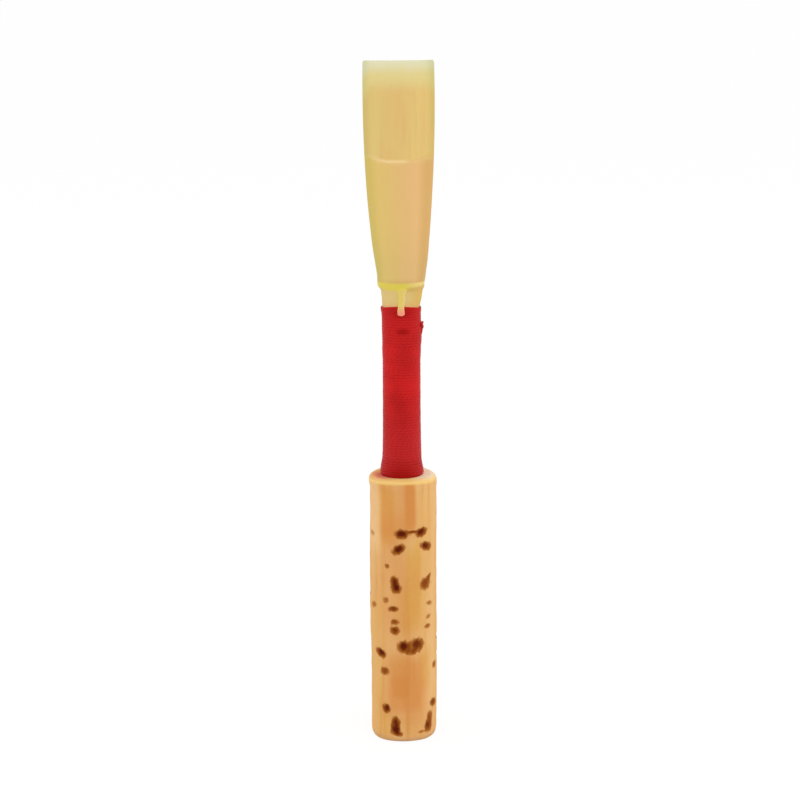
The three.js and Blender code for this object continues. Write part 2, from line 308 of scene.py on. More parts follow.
def make_piece(name, points, faces, marks=None, uv=None, sharp=35):
    """A smooth mesh of points in millimetres, with edges sharper than an angle kept sharp. marks are
    named numbers, one for each point, and uv gives two numbers for each corner of each face."""
    moved = np.array(points, float).reshape(-1, 3)
    moved[:, 0] += along(LEAN, moved[:, 2])
    mesh = bpy.data.meshes.new(name)
    mesh.from_pydata((moved * MM).tolist(), [], [list(face) for face in faces])
    for mark_name, values in (marks or {}).items():
        layer = mesh.attributes.new(mark_name, "FLOAT", "POINT")
        layer.data.foreach_set("value", np.asarray(values, np.float32).ravel())
    if uv is not None:
        layer = mesh.uv_layers.new(name="along")
        layer.data.foreach_set("uv", np.asarray(uv, np.float32).ravel())
    mesh.shade_smooth()
    mesh.set_sharp_from_angle(angle=math.radians(sharp))
    piece = bpy.data.objects.new(name, mesh)
    bpy.context.scene.collection.objects.link(piece)
    print(name, "has", len(mesh.polygons), "faces round", round(volume(mesh), 2), "mm3")
    return piece


# %% [markdown]
# ## The light and the ground
#
# The photograph has soft light from all sides and paper-white surroundings. A pale world lights the
# reed evenly, and large soft lamps brighten its flanks and its front. The ground glows white to the
# camera, and only a small share of it is real paper, so that the reed's shadow stays as faint as in
# the photograph.

# %% World and lamps
WORLD_LEVEL = 0.8
LAMP_SIZE = 260
LAMPS = {  # place, and power in watts
    "left": ((-330, -60, 150), 0.22),
    "right": ((330, -40, 150), 0.26),
    "front": ((60, -220, 330), 0.18),
}


def make_world():
    """White to the camera, to reflections and through glass, and a little darker as a light."""
    world = bpy.data.worlds.new("studio")
    world.use_nodes = True
    sheet = Signal(world.node_tree)
    camera_ray, glossy_ray, transmission_ray = (
        sheet.node("ShaderNodeLightPath", {}, {}, f"Is {kind} Ray")
        for kind in ("Camera", "Glossy", "Transmission")
    )
    shown = sheet.sum("MINIMUM", camera_ray + glossy_ray + transmission_ray, 1.0)
    backdrop = world.node_tree.nodes["Background"]
    backdrop.inputs["Color"].default_value = (1, 1, 1, 1)
    strength = WORLD_LEVEL + shown * (1 - WORLD_LEVEL)
    world.node_tree.links.new(strength.socket, backdrop.inputs["Strength"])
    bpy.context.scene.world = world


def make_lamp(name, place, power):
    """A square area lamp that faces the middle of the reed."""
    lamp = bpy.data.objects.new(name, bpy.data.lights.new(name, "AREA"))
    lamp.data.energy = power
    lamp.data.size = LAMP_SIZE * MM
    spot = Vector(place) * MM
    away = spot - Vector((0, 0, AIM_HEIGHT)) * MM
    lamp.matrix_world = Matrix.Translation(spot) @ away.to_track_quat("Z", "Y").to_matrix().to_4x4()
    bpy.context.scene.collection.objects.link(lamp)


make_world()
for lamp_name, (place, power) in LAMPS.items():
    make_lamp(lamp_name, place, power)
print(len(LAMPS), "lamps of", LAMP_SIZE, "mm")

# %% Ground
GROUND_SIZE = 6000
PAPER = (0.9, 0.9, 0.9, 1.0)
GLOW_SHARE = 0.84
GLOW_STRENGTH = 1.04


def make_ground():
    """A flat square of white paper, mixed with a glow that only the camera sees."""
    half = GROUND_SIZE / 2
    corners = [(-half, -half, 0), (half, -half, 0), (half, half, 0), (-half, half, 0)]
    ground = make_piece("ground", corners, [(0, 1, 2, 3)])
    material = finish_material("ground", lambda sheet: {}, Base_Color=PAPER, Roughness=1.0)
    tree = material.node_tree
    sheet = Signal(tree)
    paper = Signal(tree, tree.nodes["Principled BSDF"].outputs[0])
    glow = sheet.node("ShaderNodeEmission", {}, {"Color": (1, 1, 1, 1), "Strength": GLOW_STRENGTH})
    seen = sheet.node("ShaderNodeLightPath", {}, {}, "Is Camera Ray") * GLOW_SHARE
    mixed = sheet.node("ShaderNodeMixShader", {}, {0: seen, 1: paper, 2: glow})
    tree.links.new(mixed.socket, tree.nodes["Material Output"].inputs["Surface"])
    ground.data.materials.append(material)


make_ground()

# %% [markdown]
# ## The staple
#
# A staple is a tube of thin sheet metal, rolled to a taper and pressed oval at its upper end, where
# the cane sits. Only its foot and its bore show on a finished reed. The taper and the press are two
# simple sums of the height, so the tube is a stack of ovals, with its two rims rounded a little.

# %% Sizes of the staple
STAPLE_LENGTH = solid("staple_tube")[1][2]
STAPLE_FOOT = solid("staple_tube")[1][0]
STAPLE_HEAD = 1.38  # mean half width of its mouth
STAPLE_WALL = 0.35
MOUTH_OVAL = 0.24  # how much the press widens the mouth and flattens it
OVAL_LENGTH = 14
STAPLE_RIM = 0.07
STAPLE_STEPS = 60
AROUND_TUBE = 96
ROUND_STEPS = 6


def staple_half_widths(height):
    """Outer half widths, across and deep: a straight taper, plus and minus the oval press."""
    mean = STAPLE_FOOT + (STAPLE_HEAD - STAPLE_FOOT) * height / STAPLE_LENGTH
    oval = along([(STAPLE_LENGTH - OVAL_LENGTH, 0), (STAPLE_LENGTH, MOUTH_OVAL)], height)
    return mean + oval, mean - oval


# %% Staple surface
def rounded_wall(low, high, low_round, high_round, wall_steps):
    """The outside of a wall in section, from its foot up: how far each point lies inside the full
    width, and its height. A quarter circle, a straight run and another quarter circle."""
    turn = np.linspace(0, math.pi / 2, ROUND_STEPS)
    straight = np.linspace(low + low_round, high - high_round, wall_steps)[1:-1]
    inset = [low_round * (1 - np.sin(turn)), 0 * straight, high_round * (1 - np.cos(turn))]
    rise = [low_round * (1 - np.cos(turn)), straight - low, high - low - high_round * (1 - np.sin(turn))]
    return np.concatenate(inset), low + np.concatenate(rise)


def make_tube(name, halves, outside, inside, height, sharp):
    """Ovals up the outside of a tube and down its inside, counterclockwise from above. halves are two
    half widths, across and deep, and outside and inside are what each wall adds to both."""
    across, deep = (np.concatenate([half + outside, (half + inside)[::-1]]) for half in halves)
    turn = np.linspace(0, 2 * math.pi, AROUND_TUBE, endpoint=False)
    x = across[:, None] * np.cos(turn)
    y = deep[:, None] * np.sin(turn)
    level = np.concatenate([height, height[::-1]])[:, None] + 0 * turn
    loops = np.stack([x, y, level], -1)
    return make_piece(name, loops, loop_faces(loops, ring=True), sharp=sharp)


def make_staple():
    """A tube of even wall, whose two rims are rounded outside and inside."""
    inset, height = rounded_wall(0, STAPLE_LENGTH, STAPLE_RIM, STAPLE_RIM, STAPLE_STEPS)
    halves = staple_half_widths(height)
    return make_tube("staple", halves, -inset, inset - STAPLE_WALL, height, sharp=50)


staple = make_staple()

# %% [markdown]
# The metal is plain brass, drawn and polished along its length. Fine long scratches come from a noise
# that is stretched along the tube, and a second, slower noise dulls the brass in patches.

# %% Staple metal
BRIGHT_BRASS = screen(214, 184, 118)
DULL_BRASS = screen(176, 142, 82)


def brass_pattern(sheet):
    scratches = noise(sheet, places(sheet, 9, 9, 0.35), detail=3.0)
    tarnish = noise(sheet, places(sheet, 0.4, 0.4, 0.15))
    return {
        "Base Color": tarnish.ramp(0.35, 0.7).blend(BRIGHT_BRASS, DULL_BRASS),
        "Roughness": 0.24 + scratches * 0.16,
        "Bump": (scratches, 0.004),
    }


staple.data.materials.append(finish_material("brass", brass_pattern, Metallic=1.0))

# %% [markdown]
# ## The cork
#
# The cork is one bored cylinder of natural cork. Its turned wall cuts through lenticels, the dark
# brown pores of the bark. A picture could be wrapped round it, but the pores are real hollows, so the
# wall is a fine grid that is pushed inwards at each of them. The ones that the photograph shows are
# listed by their angle from the front and their height. The far side gets seeded random ones.

# %% Sizes of the cork
CORK_RADIUS = solid("cork_sleeve")[1][0]
CORK_LENGTH = solid("cork_sleeve")[1][2]
CORK_FOOT_ROUND = 0.5
CORK_HEAD_ROUND = 0.64
GLUE_GAP = 0.03
# heights, and how far the hand-sanded wall lies inside the solid one there
SANDED = [(0, 0.11), (5, 0.085), (9, 0.085), (12, 0.045), (19, 0.065), (26.8, 0.1), (27.4, 0.03)]
UNEVEN = 0.015  # how far the wall wanders
UNEVEN_PITCH = 2.4
# degrees from the front, and the share of an end's rounding there
FOOT_ROUND_SHARES = [(0, 0.85), (20, 0.7), (45, 0.3), (68, 0.5), (90, 1), (180, 1)]
HEAD_ROUND_SHARES = [(0, 0.34), (35, 0.4), (75, 0.95), (180, 1)]
HEAD_EASE = 3  # the wall's rows draw together over this height below the head
AROUND_CORK = 250
CORK_WALL_STEPS = 350
BORE_STEPS = 12
HEAD_STEPS = 9
FOOT_STEPS = 6

# %% Pores that the front shows
# degrees to the right of the front, height, half width, half height, tilt in degrees (a positive
# tilt lifts the right-hand end), depth, and darkness from 0 to 1
FRONT_PORES = [
    (-3.2, 22.73, 0.66, 0.44, 0, 0.22, 1.0),
    (15.2, 22.94, 0.62, 0.15, 0, 0.1, 0.75),
    (32.6, 22.79, 0.62, 0.42, 15, 0.22, 1.0),
    (-8.3, 21.1, 0.66, 0.42, 32, 0.22, 1.0),
    (43.0, 21.2, 0.7, 0.4, -22, 0.22, 0.95),
    (-69.0, 22.3, 0.6, 0.3, 0, 0.06, 0.3),
    (-29.0, 19.23, 0.27, 0.27, 0, 0.1, 0.5),
    (-15.5, 17.62, 0.38, 0.55, 0, 0.18, 0.9),
    (-12.4, 16.95, 0.46, 0.5, 0, 0.24, 1.0),
    (40.9, 17.18, 0.62, 0.6, 20, 0.18, 0.75),
    (49.5, 17.8, 0.42, 0.22, 50, 0.1, 0.65),
    (-31.6, 15.53, 0.38, 0.36, 20, 0.1, 0.4),
    (-62.5, 14.65, 0.6, 0.34, 20, 0.12, 0.38),
    (-17.6, 14.69, 0.5, 0.28, 5, 0.14, 0.8),
    (51.5, 14.93, 0.55, 0.25, -10, 0.1, 0.38),
    (-15.3, 13.29, 0.42, 0.28, 5, 0.1, 0.65),
    (48.0, 13.52, 0.4, 0.24, 20, 0.06, 0.36),
    (-15.3, 12.35, 0.46, 0.42, 0, 0.16, 0.8),
    (46.0, 12.51, 0.45, 0.25, 0, 0.1, 0.5),
    (-0.2, 10.6, 0.6, 0.58, 0, 0.24, 1.0),
    (23.0, 10.72, 0.7, 0.64, 0, 0.22, 0.9),
    (13.0, 10.02, 0.62, 0.34, 0, 0.12, 0.65),
    (-45.0, 9.63, 0.66, 0.42, -15, 0.22, 1.0),
    (-36.4, 7.73, 0.52, 0.4, 15, 0.14, 0.7),
    (67.0, 7.9, 0.5, 0.4, 0, 0.1, 0.5),
    (-33.2, 3.61, 0.44, 0.46, 0, 0.2, 0.95),
    (63.0, 3.78, 0.62, 0.4, -15, 0.16, 0.8),
    (-15.3, 2.1, 0.44, 0.7, 0, 0.18, 0.9),
    (-15.5, 1.33, 0.48, 0.5, 0, 0.24, 1.0),
    (-9.6, 0.95, 0.4, 0.24, -20, 0.14, 0.7),
    (51.8, 2.32, 0.42, 0.66, 0, 0.14, 0.65),
    (48.0, 1.42, 0.52, 0.6, 0, 0.2, 0.85),
    (32.3, 0.98, 0.45, 0.17, 0, 0.07, 0.4),
]

# %% Pores round the rest of the cork
BACK_PORES = 58
BACK_START = 80  # degrees from the front
PORE_MARGIN = 0.8  # least distance from a pore's middle to an end of the cork
PORE_SIZES = (0.15, 0.7)  # least and greatest half width
PORE_HEIGHTS = (0.45, 1.1)  # least and greatest half height, as shares of the half width
PORE_TILT = 25  # degrees, the spread of their tilts
PORE_DEPTH = 0.35  # as a share of the half width


def back_pores():
    """Seeded pores over the part of the wall that the photograph doesn't show."""
    rng = np.random.default_rng(11)
    size = rng.gamma(2.4, 0.15, BACK_PORES).clip(*PORE_SIZES)
    columns = [
        rng.uniform(BACK_START, 360 - BACK_START, BACK_PORES),
        rng.uniform(PORE_MARGIN, CORK_LENGTH - PORE_MARGIN, BACK_PORES),
        size,
        size * rng.uniform(*PORE_HEIGHTS, BACK_PORES),
        rng.normal(0, PORE_TILT, BACK_PORES),
        size * PORE_DEPTH,
        (0.35 + size * 1.1).clip(0, 1),  # the larger, the darker
    ]
    return np.stack(columns, -1)


PORES = np.concatenate([np.array(FRONT_PORES), back_pores()])
print(len(PORES), "pores in the cork")


# %% Depth and darkness of the pores
RAGGED = 0.08  # how far a pore's edge wanders, as a share of its half size
RAGGED_PITCH = 0.45
HOLLOW = (1.1, 0.35)  # where a pore's hollow starts and where it is deepest, in its half sizes
STAIN = (1.7, 0.25)  # where the dark round a pore starts and where it is darkest


def ripple(first, second, seed, pitch, count=9):
    """A smooth random field over two coordinates: a sum of waves of random direction and phase, whose
    lengths are near the pitch. It runs from about -1 to 1."""
    rng = np.random.default_rng(seed)
    total = 0
    for _ in range(count):
        angle, phase = rng.uniform(0, 2 * math.pi, 2)
        length = pitch * rng.uniform(0.6, 1.8)
        way = first * math.cos(angle) + second * math.sin(angle)
        total = total + np.sin(2 * math.pi * way / length + phase)
    return total / math.sqrt(count)


def turn_between(angle, degrees):
    """The angle from a direction, as the shorter way round."""
    return (angle - math.radians(degrees) + math.pi) % (2 * math.pi) - math.pi


def pore_fields(angle, height):
    """How deep each place of the wall is cut, and how dark it is. A pore is a tilted ellipse on the
    unrolled wall, with an edge made ragged by a ripple. Where pores meet, the deeper one wins, and
    their shades add up."""
    ragged = 1 + RAGGED * ripple(CORK_RADIUS * angle, height, seed=3, pitch=RAGGED_PITCH)
    depth, light = 0 * ragged, 1 + 0 * ragged
    for degrees, middle, half_width, half_height, tilt, pore_depth, darkness in PORES:
        across, up = CORK_RADIUS * turn_between(angle, degrees), height - middle
        lean = math.radians(tilt)
        lengthways = across * math.cos(lean) + up * math.sin(lean)
        sideways = up * math.cos(lean) - across * math.sin(lean)
        reach = np.hypot(lengthways / half_width, sideways / half_height) * ragged
        depth = np.maximum(depth, pore_depth * smooth_step(reach, *HOLLOW))
        light = light * (1 - darkness * smooth_step(reach, *STAIN))
    return depth, 1 - light


# %% Warm and golden patches of the cork
# degrees to the right of the front, half width in degrees, height, half height, strength
WARM_PATCHES = [
    (4, 15, 25.6, 2.9, 0.45),
    (13, 6, 25.8, 2.2, 0.5),
    (13, 10.5, 26.0, 3.4, 0.4),
    (-34, 20, 25.2, 3.2, 0.5),
    (-20, 24, 17.8, 6.0, 0.4),
    (3, 35, 6.2, 3.4, 0.7),
    (-6, 14, 6.2, 1.1, 0.35),
    (10, 36, 1.2, 1.4, 0.2),
    (14, 16, 15.0, 4.0, 0.2),
    (-60, 18, 24.6, 3.4, -0.5),
    (150, 30, 20.0, 6.0, 0.6),
    (205, 24, 8.0, 6.5, 0.7),
    (255, 22, 22.0, 5.0, 0.5),
    (110, 20, 6.0, 5.0, 0.5),
]
GOLDEN_PATCHES = [
    (-28, 16, 24.8, 3.0, 0.75),
    (17, 13, 17.5, 4.0, 0.8),
    (15, 34, 14.4, 2.6, 0.4),
    (18, 18, 1.8, 1.2, 0.3),
    (-30, 9, 1.8, 2.0, 0.4),
    (38, 14, 7.8, 2.2, 0.5),
    (-6, 20, 8.0, 1.8, 0.3),
    (-55, 20, 8.0, 9.0, 0.4),
    (82, 14, 11.0, 11.0, 0.45),
    (-84, 12, 14.0, 9.0, 0.25),
    (42, 18, 22.0, 5.0, 0.3),
    (-60, 16, 24.6, 3.4, -0.5),
    (130, 30, 12.0, 7.0, 0.6),
    (230, 25, 18.0, 6.0, 0.7),
    (180, 30, 25.5, 2.5, 0.6),
]
PATCH_EDGE = (1.45, 0.55)  # where a patch starts and where it is full, in its half sizes


def patch_sum(patches, angle, height):
    """Soft boxes on the unrolled wall, each times its strength, added up."""
    total = 0 * angle * height
    for degrees, half_degrees, middle, half_height, strength in patches:
        across = np.abs(turn_between(angle, degrees)) / math.radians(half_degrees)
        up = np.abs(height - middle) / half_height
        total = total + strength * smooth_step(across, *PATCH_EDGE) * smooth_step(up, *PATCH_EDGE)
    return total


# %% Tints of the cork's head
HEAD_SHADE_SIDE = -70  # degrees from the front, where painted shade darkens the head beside the thread
HEAD_SHADE_SPREAD = 52  # degrees
HEAD_SHADE_EDGE = 0.15  # the painted shade has thinned at this distance from the wall
RIM_SHADE = (-95, 24, 0.55)  # side and spread in degrees, and strength, of the painted shade on the rim
PALE_SIDE = 110  # degrees from the front, where the head is palest, with painted light
PALE_SPREAD = 100  # degrees
PALE_EDGE = 0.45  # the pale cut and its painted light end within this distance from the wall
THREAD_REACH = 2.35  # the binding covers the head up to this radius
TINT_DROP = 0.28  # how much lower the head's tints reach at the sides than in front
HEAD_EDGE = 0.1  # how far down the pale cut, its painted light and the painted shade reach
RIM_EDGE = (0.42, 0.16)  # below the head, where the painted highlight along the rim starts and where it is full


def side_hill(angle, degrees, spread):
    """A bell curve round the cork, whose middle and spread are in degrees."""
    return hill(turn_between(angle, degrees), 0, math.radians(spread))


def head_tints(angle, radius, level):
    """How strong each tint is: the pale cut with painted light on one side, painted shade on the other,
    which is strongest beside the thread, and a painted highlight along the rim."""
    beside_thread = smooth_step(radius, CORK_RADIUS - HEAD_SHADE_EDGE, THREAD_REACH)
    head_shade = side_hill(angle, HEAD_SHADE_SIDE, HEAD_SHADE_SPREAD) * (0.45 + 0.5 * beside_thread)
    rim_side, rim_spread, rim_strength = RIM_SHADE
    rim_painted_shade = rim_strength * side_hill(angle, rim_side, rim_spread)
    off_pale = np.abs(turn_between(angle, PALE_SIDE)) / math.radians(PALE_SPREAD)
    pale = smooth_step(off_pale, 1, 0.4) * smooth_step(radius, CORK_RADIUS, CORK_RADIUS - PALE_EDGE)
    depth = CORK_LENGTH - level - TINT_DROP * np.sin(angle) ** 2
    on_head = smooth_step(depth, HEAD_EDGE, 0)
    return {
        "head": on_head * pale,
        "head_shade": on_head * np.maximum(head_shade, rim_painted_shade),
        "rim": smooth_step(depth, *RIM_EDGE),
    }


# %% Rounded ends of the cork
def eased_ends(inset, height, angle):
    """Scales the rounding of both ends by its share at each angle. The foot's rows are squeezed down
    and the head's rows up, and the wall's rows below the head follow them."""
    off_front = np.abs(np.degrees(turn_between(angle, 0)))
    foot = np.where(height < CORK_FOOT_ROUND, along(FOOT_ROUND_SHARES, off_front), 1)
    share = along(HEAD_ROUND_SHARES, off_front)
    head_start = CORK_LENGTH - CORK_HEAD_ROUND
    head = np.where(height > head_start, share, 1)
    follow = (1 - share) * CORK_HEAD_ROUND * smooth_step(height, head_start - HEAD_EASE, head_start)
    wall_height = height * foot + follow
    head_height = CORK_LENGTH - (CORK_LENGTH - height) * share
    return inset * foot * head, np.where(height > head_start, head_height, wall_height)


# %% Cork surface
def make_cork():
    """Loops go up the outer wall, in over the head, down the bore and out under the foot. The wall is
    pushed in by the pores and by what was sanded off, and is slightly uneven."""
    rounds = CORK_FOOT_ROUND, CORK_HEAD_ROUND
    inset, height = rounded_wall(0, CORK_LENGTH, *rounds, CORK_WALL_STEPS)
    turn = np.linspace(0, 2 * math.pi, AROUND_CORK, endpoint=False)
    angle = turn + math.pi / 2  # turn is counted from +X, and the pores from the front at -Y
    inset, height = eased_ends(inset[:, None], height[:, None], angle)
    depth, dark = pore_fields(angle, height)
    uneven = UNEVEN * ripple(CORK_RADIUS * angle, height, seed=5, pitch=UNEVEN_PITCH)
    wall = CORK_RADIUS - along(SANDED, height) - inset - depth + uneven.clip(-UNEVEN, UNEVEN)
    bore_height = np.linspace(CORK_LENGTH, 0, BORE_STEPS)
    bore = staple_half_widths(bore_height)[0] + GLUE_GAP
    head = np.linspace(CORK_RADIUS - CORK_HEAD_ROUND, bore[0], HEAD_STEPS)[1:-1]
    foot = np.linspace(bore[-1], CORK_RADIUS - CORK_FOOT_ROUND, FOOT_STEPS)[1:-1]
    inside = np.concatenate([head, bore, foot])[:, None] + 0 * turn
    inside_height = np.concatenate([0 * head + CORK_LENGTH, bore_height, 0 * foot])
    radius = np.concatenate([wall, inside])
    level = np.concatenate([height, inside_height[:, None] + 0 * turn])
    loops = np.stack([radius * np.cos(turn), radius * np.sin(turn), level], -1)
    marks = {
        "pore": np.concatenate([dark, 0 * inside]),
        "warm": patch_sum(WARM_PATCHES, angle, level),
        "gold": patch_sum(GOLDEN_PATCHES, angle, level),
        **head_tints(angle, radius, level),
    }
    return make_piece("cork", loops, loop_faces(loops, ring=True), marks, sharp=60)


cork = make_cork()

# %% [markdown]
# Cork is warm tan with soft orange patches, faint upright streaks and a fine grain of tiny cells. The
# pores are dark brown inside and fade to brown at their ragged edges. The cut head is pale, with
# painted light on the right, painted shade beside the thread on the left, and a painted highlight
# along its rim. The foot darkens with painted shade where it meets the ground. The cork's matt skin
# scatters light at a grazing angle, which the sheen gives.

# %% Colours of the cork
TAN = screen(233, 188, 130)
ORANGE = screen(215, 142, 74)
GOLD = screen(220, 168, 86)
RUST = screen(205, 128, 60)
CELLS = screen(190, 124, 62)
PORE_RIM = screen(176, 110, 48)
PORE_BROWN = screen(142, 72, 8)
PORE_DARK = screen(96, 24, 0)
# pale cut of the head, with painted light on the right
HEAD_PALE_AND_LIT = screen(248, 232, 214)
# reddish brown painted shade on the head beside the thread
HEAD_SHADE_COLOUR = screen(218, 102, 86)
# painted highlight along the rim of the head
RIM_HIGHLIGHT = screen(244, 206, 124)
FOOT_SHADE = screen(184, 146, 110)
CORK_SHEEN = screen(255, 226, 180)
SHADED_FOOT = (0.8, 0.05)  # heights between which the foot darkens, a painted contact shadow


# %% Cork finish
def cork_pattern(sheet):
    patches = noise(sheet, places(sheet, 0.4, 0.4, 0.18))
    streaks = noise(sheet, places(sheet, 1.1, 1.1, 0.08))
    grain = noise(sheet, places(sheet, 1, 1, 1.5), scale=5.5, detail=4.0, roughness=0.65)
    golden = mark(sheet, "gold") + (streaks - 0.5) * 0.6
    colour = golden.ramp(-0.45, 1.0).blend(TAN, GOLD)
    warm = mark(sheet, "warm") + (patches - 0.5) * 0.6
    colour = warm.ramp(-0.3, 1.05).blend(colour, ORANGE)
    colour = (streaks.ramp(0.52, 0.78) * 0.3).blend(colour, RUST)
    colour = (grain.ramp(0.5, 0.8) * 0.28).blend(colour, CELLS)
    # painted highlight along the rim of the head
    colour = (mark(sheet, "rim") * 0.8).blend(colour, RIM_HIGHLIGHT)
    # painted shade at the foot, where it meets the ground
    at_foot = axis_of(places(sheet), "Z").ramp(*SHADED_FOOT)
    colour = (at_foot * 0.5).blend(colour, FOOT_SHADE)
    # pale cut of the head, with painted light on the right
    colour = (mark(sheet, "head") * 0.7).blend(colour, HEAD_PALE_AND_LIT)
    # painted shade on the head beside the thread, and on the left of its rim
    colour = (mark(sheet, "head_shade") + (grain - 0.5) * 0.3).ramp(0.15, 1.0).blend(colour, HEAD_SHADE_COLOUR)
    pore = mark(sheet, "pore") + (grain - 0.5) * 0.3
    colour = pore.ramp(0.06, 0.4).blend(colour, PORE_RIM)
    colour = pore.ramp(0.28, 0.74).blend(colour, PORE_BROWN)
    colour = pore.ramp(0.66, 1.0).blend(colour, PORE_DARK)
    return {
        "Base Color": colour,
        "Roughness": 0.66 + grain * 0.25,
        "Bump": (grain - mark(sheet, "pore") * 0.5, 0.02),
    }


cork.data.materials.append(
    finish_material(
        "cork",
        cork_pattern,
        Specular_IOR_Level=0.1,
        Sheen_Weight=0.2,
        Sheen_Roughness=0.4,
        Sheen_Tint=CORK_SHEEN,
    )
)

# %% [markdown]
# ## The cane
#
# A blade is a strip of gouged cane. Outside it keeps the smooth bark up to a curved line; above that
# line the bark is scraped away, and the cane thins out to a tip like paper. Near the thread the bark
# is cut off in a bevel, which leaves a pared neck. A blade could be sculpted, but its outline, arch
# and thickness are each a simple function of the height, so its two faces are grids of points that
# share one outline.

# %% Sizes of the cane
REED_LENGTH = solid("front_blade")[1][2]
TAIL_FOOT = solid("front_blade")[0][2]
WIDEST_HALF = solid("front_blade")[1][0]
WIDEST_HEIGHT = REED_LENGTH - 3.7
THROAT_EDGE = 0.77  # cane beside the staple's mouth
CANE_EDGE = 0.42  # cane beside the air channel at the widest place
TIP_OPENING = 0.7
BACK_TIP_DROP = 0.08  # the back blade is this much shorter
SEAT_GAP = 0.03
EDGE_GAP = 0.006
CORNER_CUT = 0.12
CORNER_LENGTH = 0.25
TAIL_FULL = TAIL_FOOT + 2
THREAD_HEAD = solid("thread_under_layer")[1][2]
NECK_FOOT = THREAD_HEAD + 0.05
NECK_START = 0.2  # below the neck's foot, where a tail begins to widen into it
NECK_DROP = 0.35  # how much lower the neck's foot lies at the sides, where the thread dips
NECK_DIP = (THREAD_HEAD - 1.2, THREAD_HEAD - 0.5)  # the drop comes in between these heights
NECK_LEVEL = (NECK_FOOT, NECK_FOOT + 0.4)  # and goes between these
NECK_LAP = 0.3  # how far the thread laps over the neck's foot
SHOULDER_FOOT = STAPLE_LENGTH + 0.4
SHOULDER_CREST = SHOULDER_FOOT + 0.85
BEVEL_SAG = 0.22  # how much lower the bevel's foot lies on the middle line than at the sides
BEVEL_START = SHOULDER_FOOT - 0.2
WAIST = (SHOULDER_CREST + 0.7, 1.3, 0.06)  # height, half length and depth of a faint waist
SCRAPE_LINE = REED_LENGTH - 9.8
SCRAPE_STEP = 0.1
SCRAPE_EDGE = 0.1  # length of the step
STEP_FADE = (SCRAPE_LINE + 6.5, SCRAPE_LINE + 2)  # where the step has gone, and where it is whole
SIDE_RISE = 0.3  # how much higher the scrape line ends at both sides
LEFT_RISE = 0.22  # and how much more on the left
MOUTH_HALF = STAPLE_HEAD + MOUTH_OVAL + SEAT_GAP
MOUTH_RISE = STAPLE_HEAD - MOUTH_OVAL + SEAT_GAP
SHOULDER_HALF = MOUTH_HALF + THROAT_EDGE
BARK_THICKNESS = 0.6
NECK_THICKNESS = 0.36
TAIL_THICKNESS = 0.18

# %% How a blade changes with its height
# heights, and the thickness on the middle line there
CROWN = [
    (TAIL_FOOT, 0.08),
    (TAIL_FULL, TAIL_THICKNESS),
    (THREAD_HEAD - NECK_LAP, TAIL_THICKNESS),
    (THREAD_HEAD - NECK_LAP / 3, NECK_THICKNESS),
    (SHOULDER_FOOT, NECK_THICKNESS),
    (SHOULDER_CREST, BARK_THICKNESS),
    (SCRAPE_LINE, BARK_THICKNESS),
    (REED_LENGTH - 5.5, 0.52),
    (REED_LENGTH - 3.6, 0.44),
    (REED_LENGTH - 2.2, 0.34),
    (REED_LENGTH - 0.8, 0.2),
    (REED_LENGTH, 0.1),
]
# heights, and how far a tail reaches past the staple's side there
TAIL_SIDE = [(TAIL_FOOT, 0.02), (TAIL_FOOT + 1.2, 0.03), (TAIL_FULL, 0.08)]
TAIL_SIDE += [(THREAD_HEAD - 0.95, 0.075), (THREAD_HEAD - 0.6, 0.14), (THREAD_HEAD, 0.15)]
# heights, and how far the pared neck lies inside the blade's outline there
PARED_SIDE = [(SHOULDER_FOOT - 0.1, 0.2), (SHOULDER_FOOT + 0.35, 0)]
# heights, and the power of the sine that makes the arch: an oval at the throat, and nearly a
# parabola at the tip
ARCH_POWERS = [(STAPLE_LENGTH, 1), (REED_LENGTH, 1.8)]


# %% Outline of a blade
def taper(widest, narrow, narrow_height, height):
    """A parabola that is widest at one height and narrows to a value at a lower height."""
    share = (WIDEST_HEIGHT - height) / (WIDEST_HEIGHT - narrow_height)
    return widest - (widest - narrow) * share**2


def channel(height):
    """Half width and rise of the air channel, or of the staple below its mouth."""
    across, deep = staple_half_widths(np.minimum(height, STAPLE_LENGTH))
    half = taper(WIDEST_HALF - CANE_EDGE, MOUTH_HALF, STAPLE_LENGTH, height)
    rise = along([(STAPLE_LENGTH, MOUTH_RISE), (REED_LENGTH, TIP_OPENING / 2)], height)
    above = height > STAPLE_LENGTH
    return np.where(above, half, across + SEAT_GAP), np.where(above, rise, deep + SEAT_GAP)


def blade_half(height):
    """Half width of a blade: narrow tails, a pared neck, then the full outline to the clipped tip."""
    waist_height, waist_length, waist_depth = WAIST
    whole = taper(WIDEST_HALF, SHOULDER_HALF, SHOULDER_CREST, height)
    whole = whole - waist_depth * hill(height, waist_height, waist_length)
    past_corner = (height - REED_LENGTH + CORNER_LENGTH).clip(0)
    clipped = CORNER_CUT * (past_corner / CORNER_LENGTH) ** 2
    tail = channel(height)[0] + along(TAIL_SIDE, height)
    neck_foot = NECK_FOOT - NECK_DROP
    blend = smooth_step(height, neck_foot - NECK_START, neck_foot)
    return tail + (whole - along(PARED_SIDE, height) - clipped - tail) * blend


# %% The two curved cuts of a blade
def scrape_line(across):
    """Height of the line where the bark ends: a shallow U that is higher on the left. across runs
    from -1 at the left edge to 1 at the right."""
    on_left = smooth_step(-across, 0.35, 0.9)
    return SCRAPE_LINE + SIDE_RISE * np.abs(across) ** 3 + LEFT_RISE * on_left


def bevel_height(height, across):
    """The height on the bevel's own scale: its foot rises towards the sides, while its crest runs
    level. The neck's own foot falls towards the sides."""
    at_foot = band(height, (NECK_FOOT, BEVEL_START), (SHOULDER_FOOT, SHOULDER_CREST))
    at_thread = band(height, NECK_DIP, NECK_LEVEL)
    return height + (NECK_DROP * at_thread - BEVEL_SAG * at_foot) * across**2


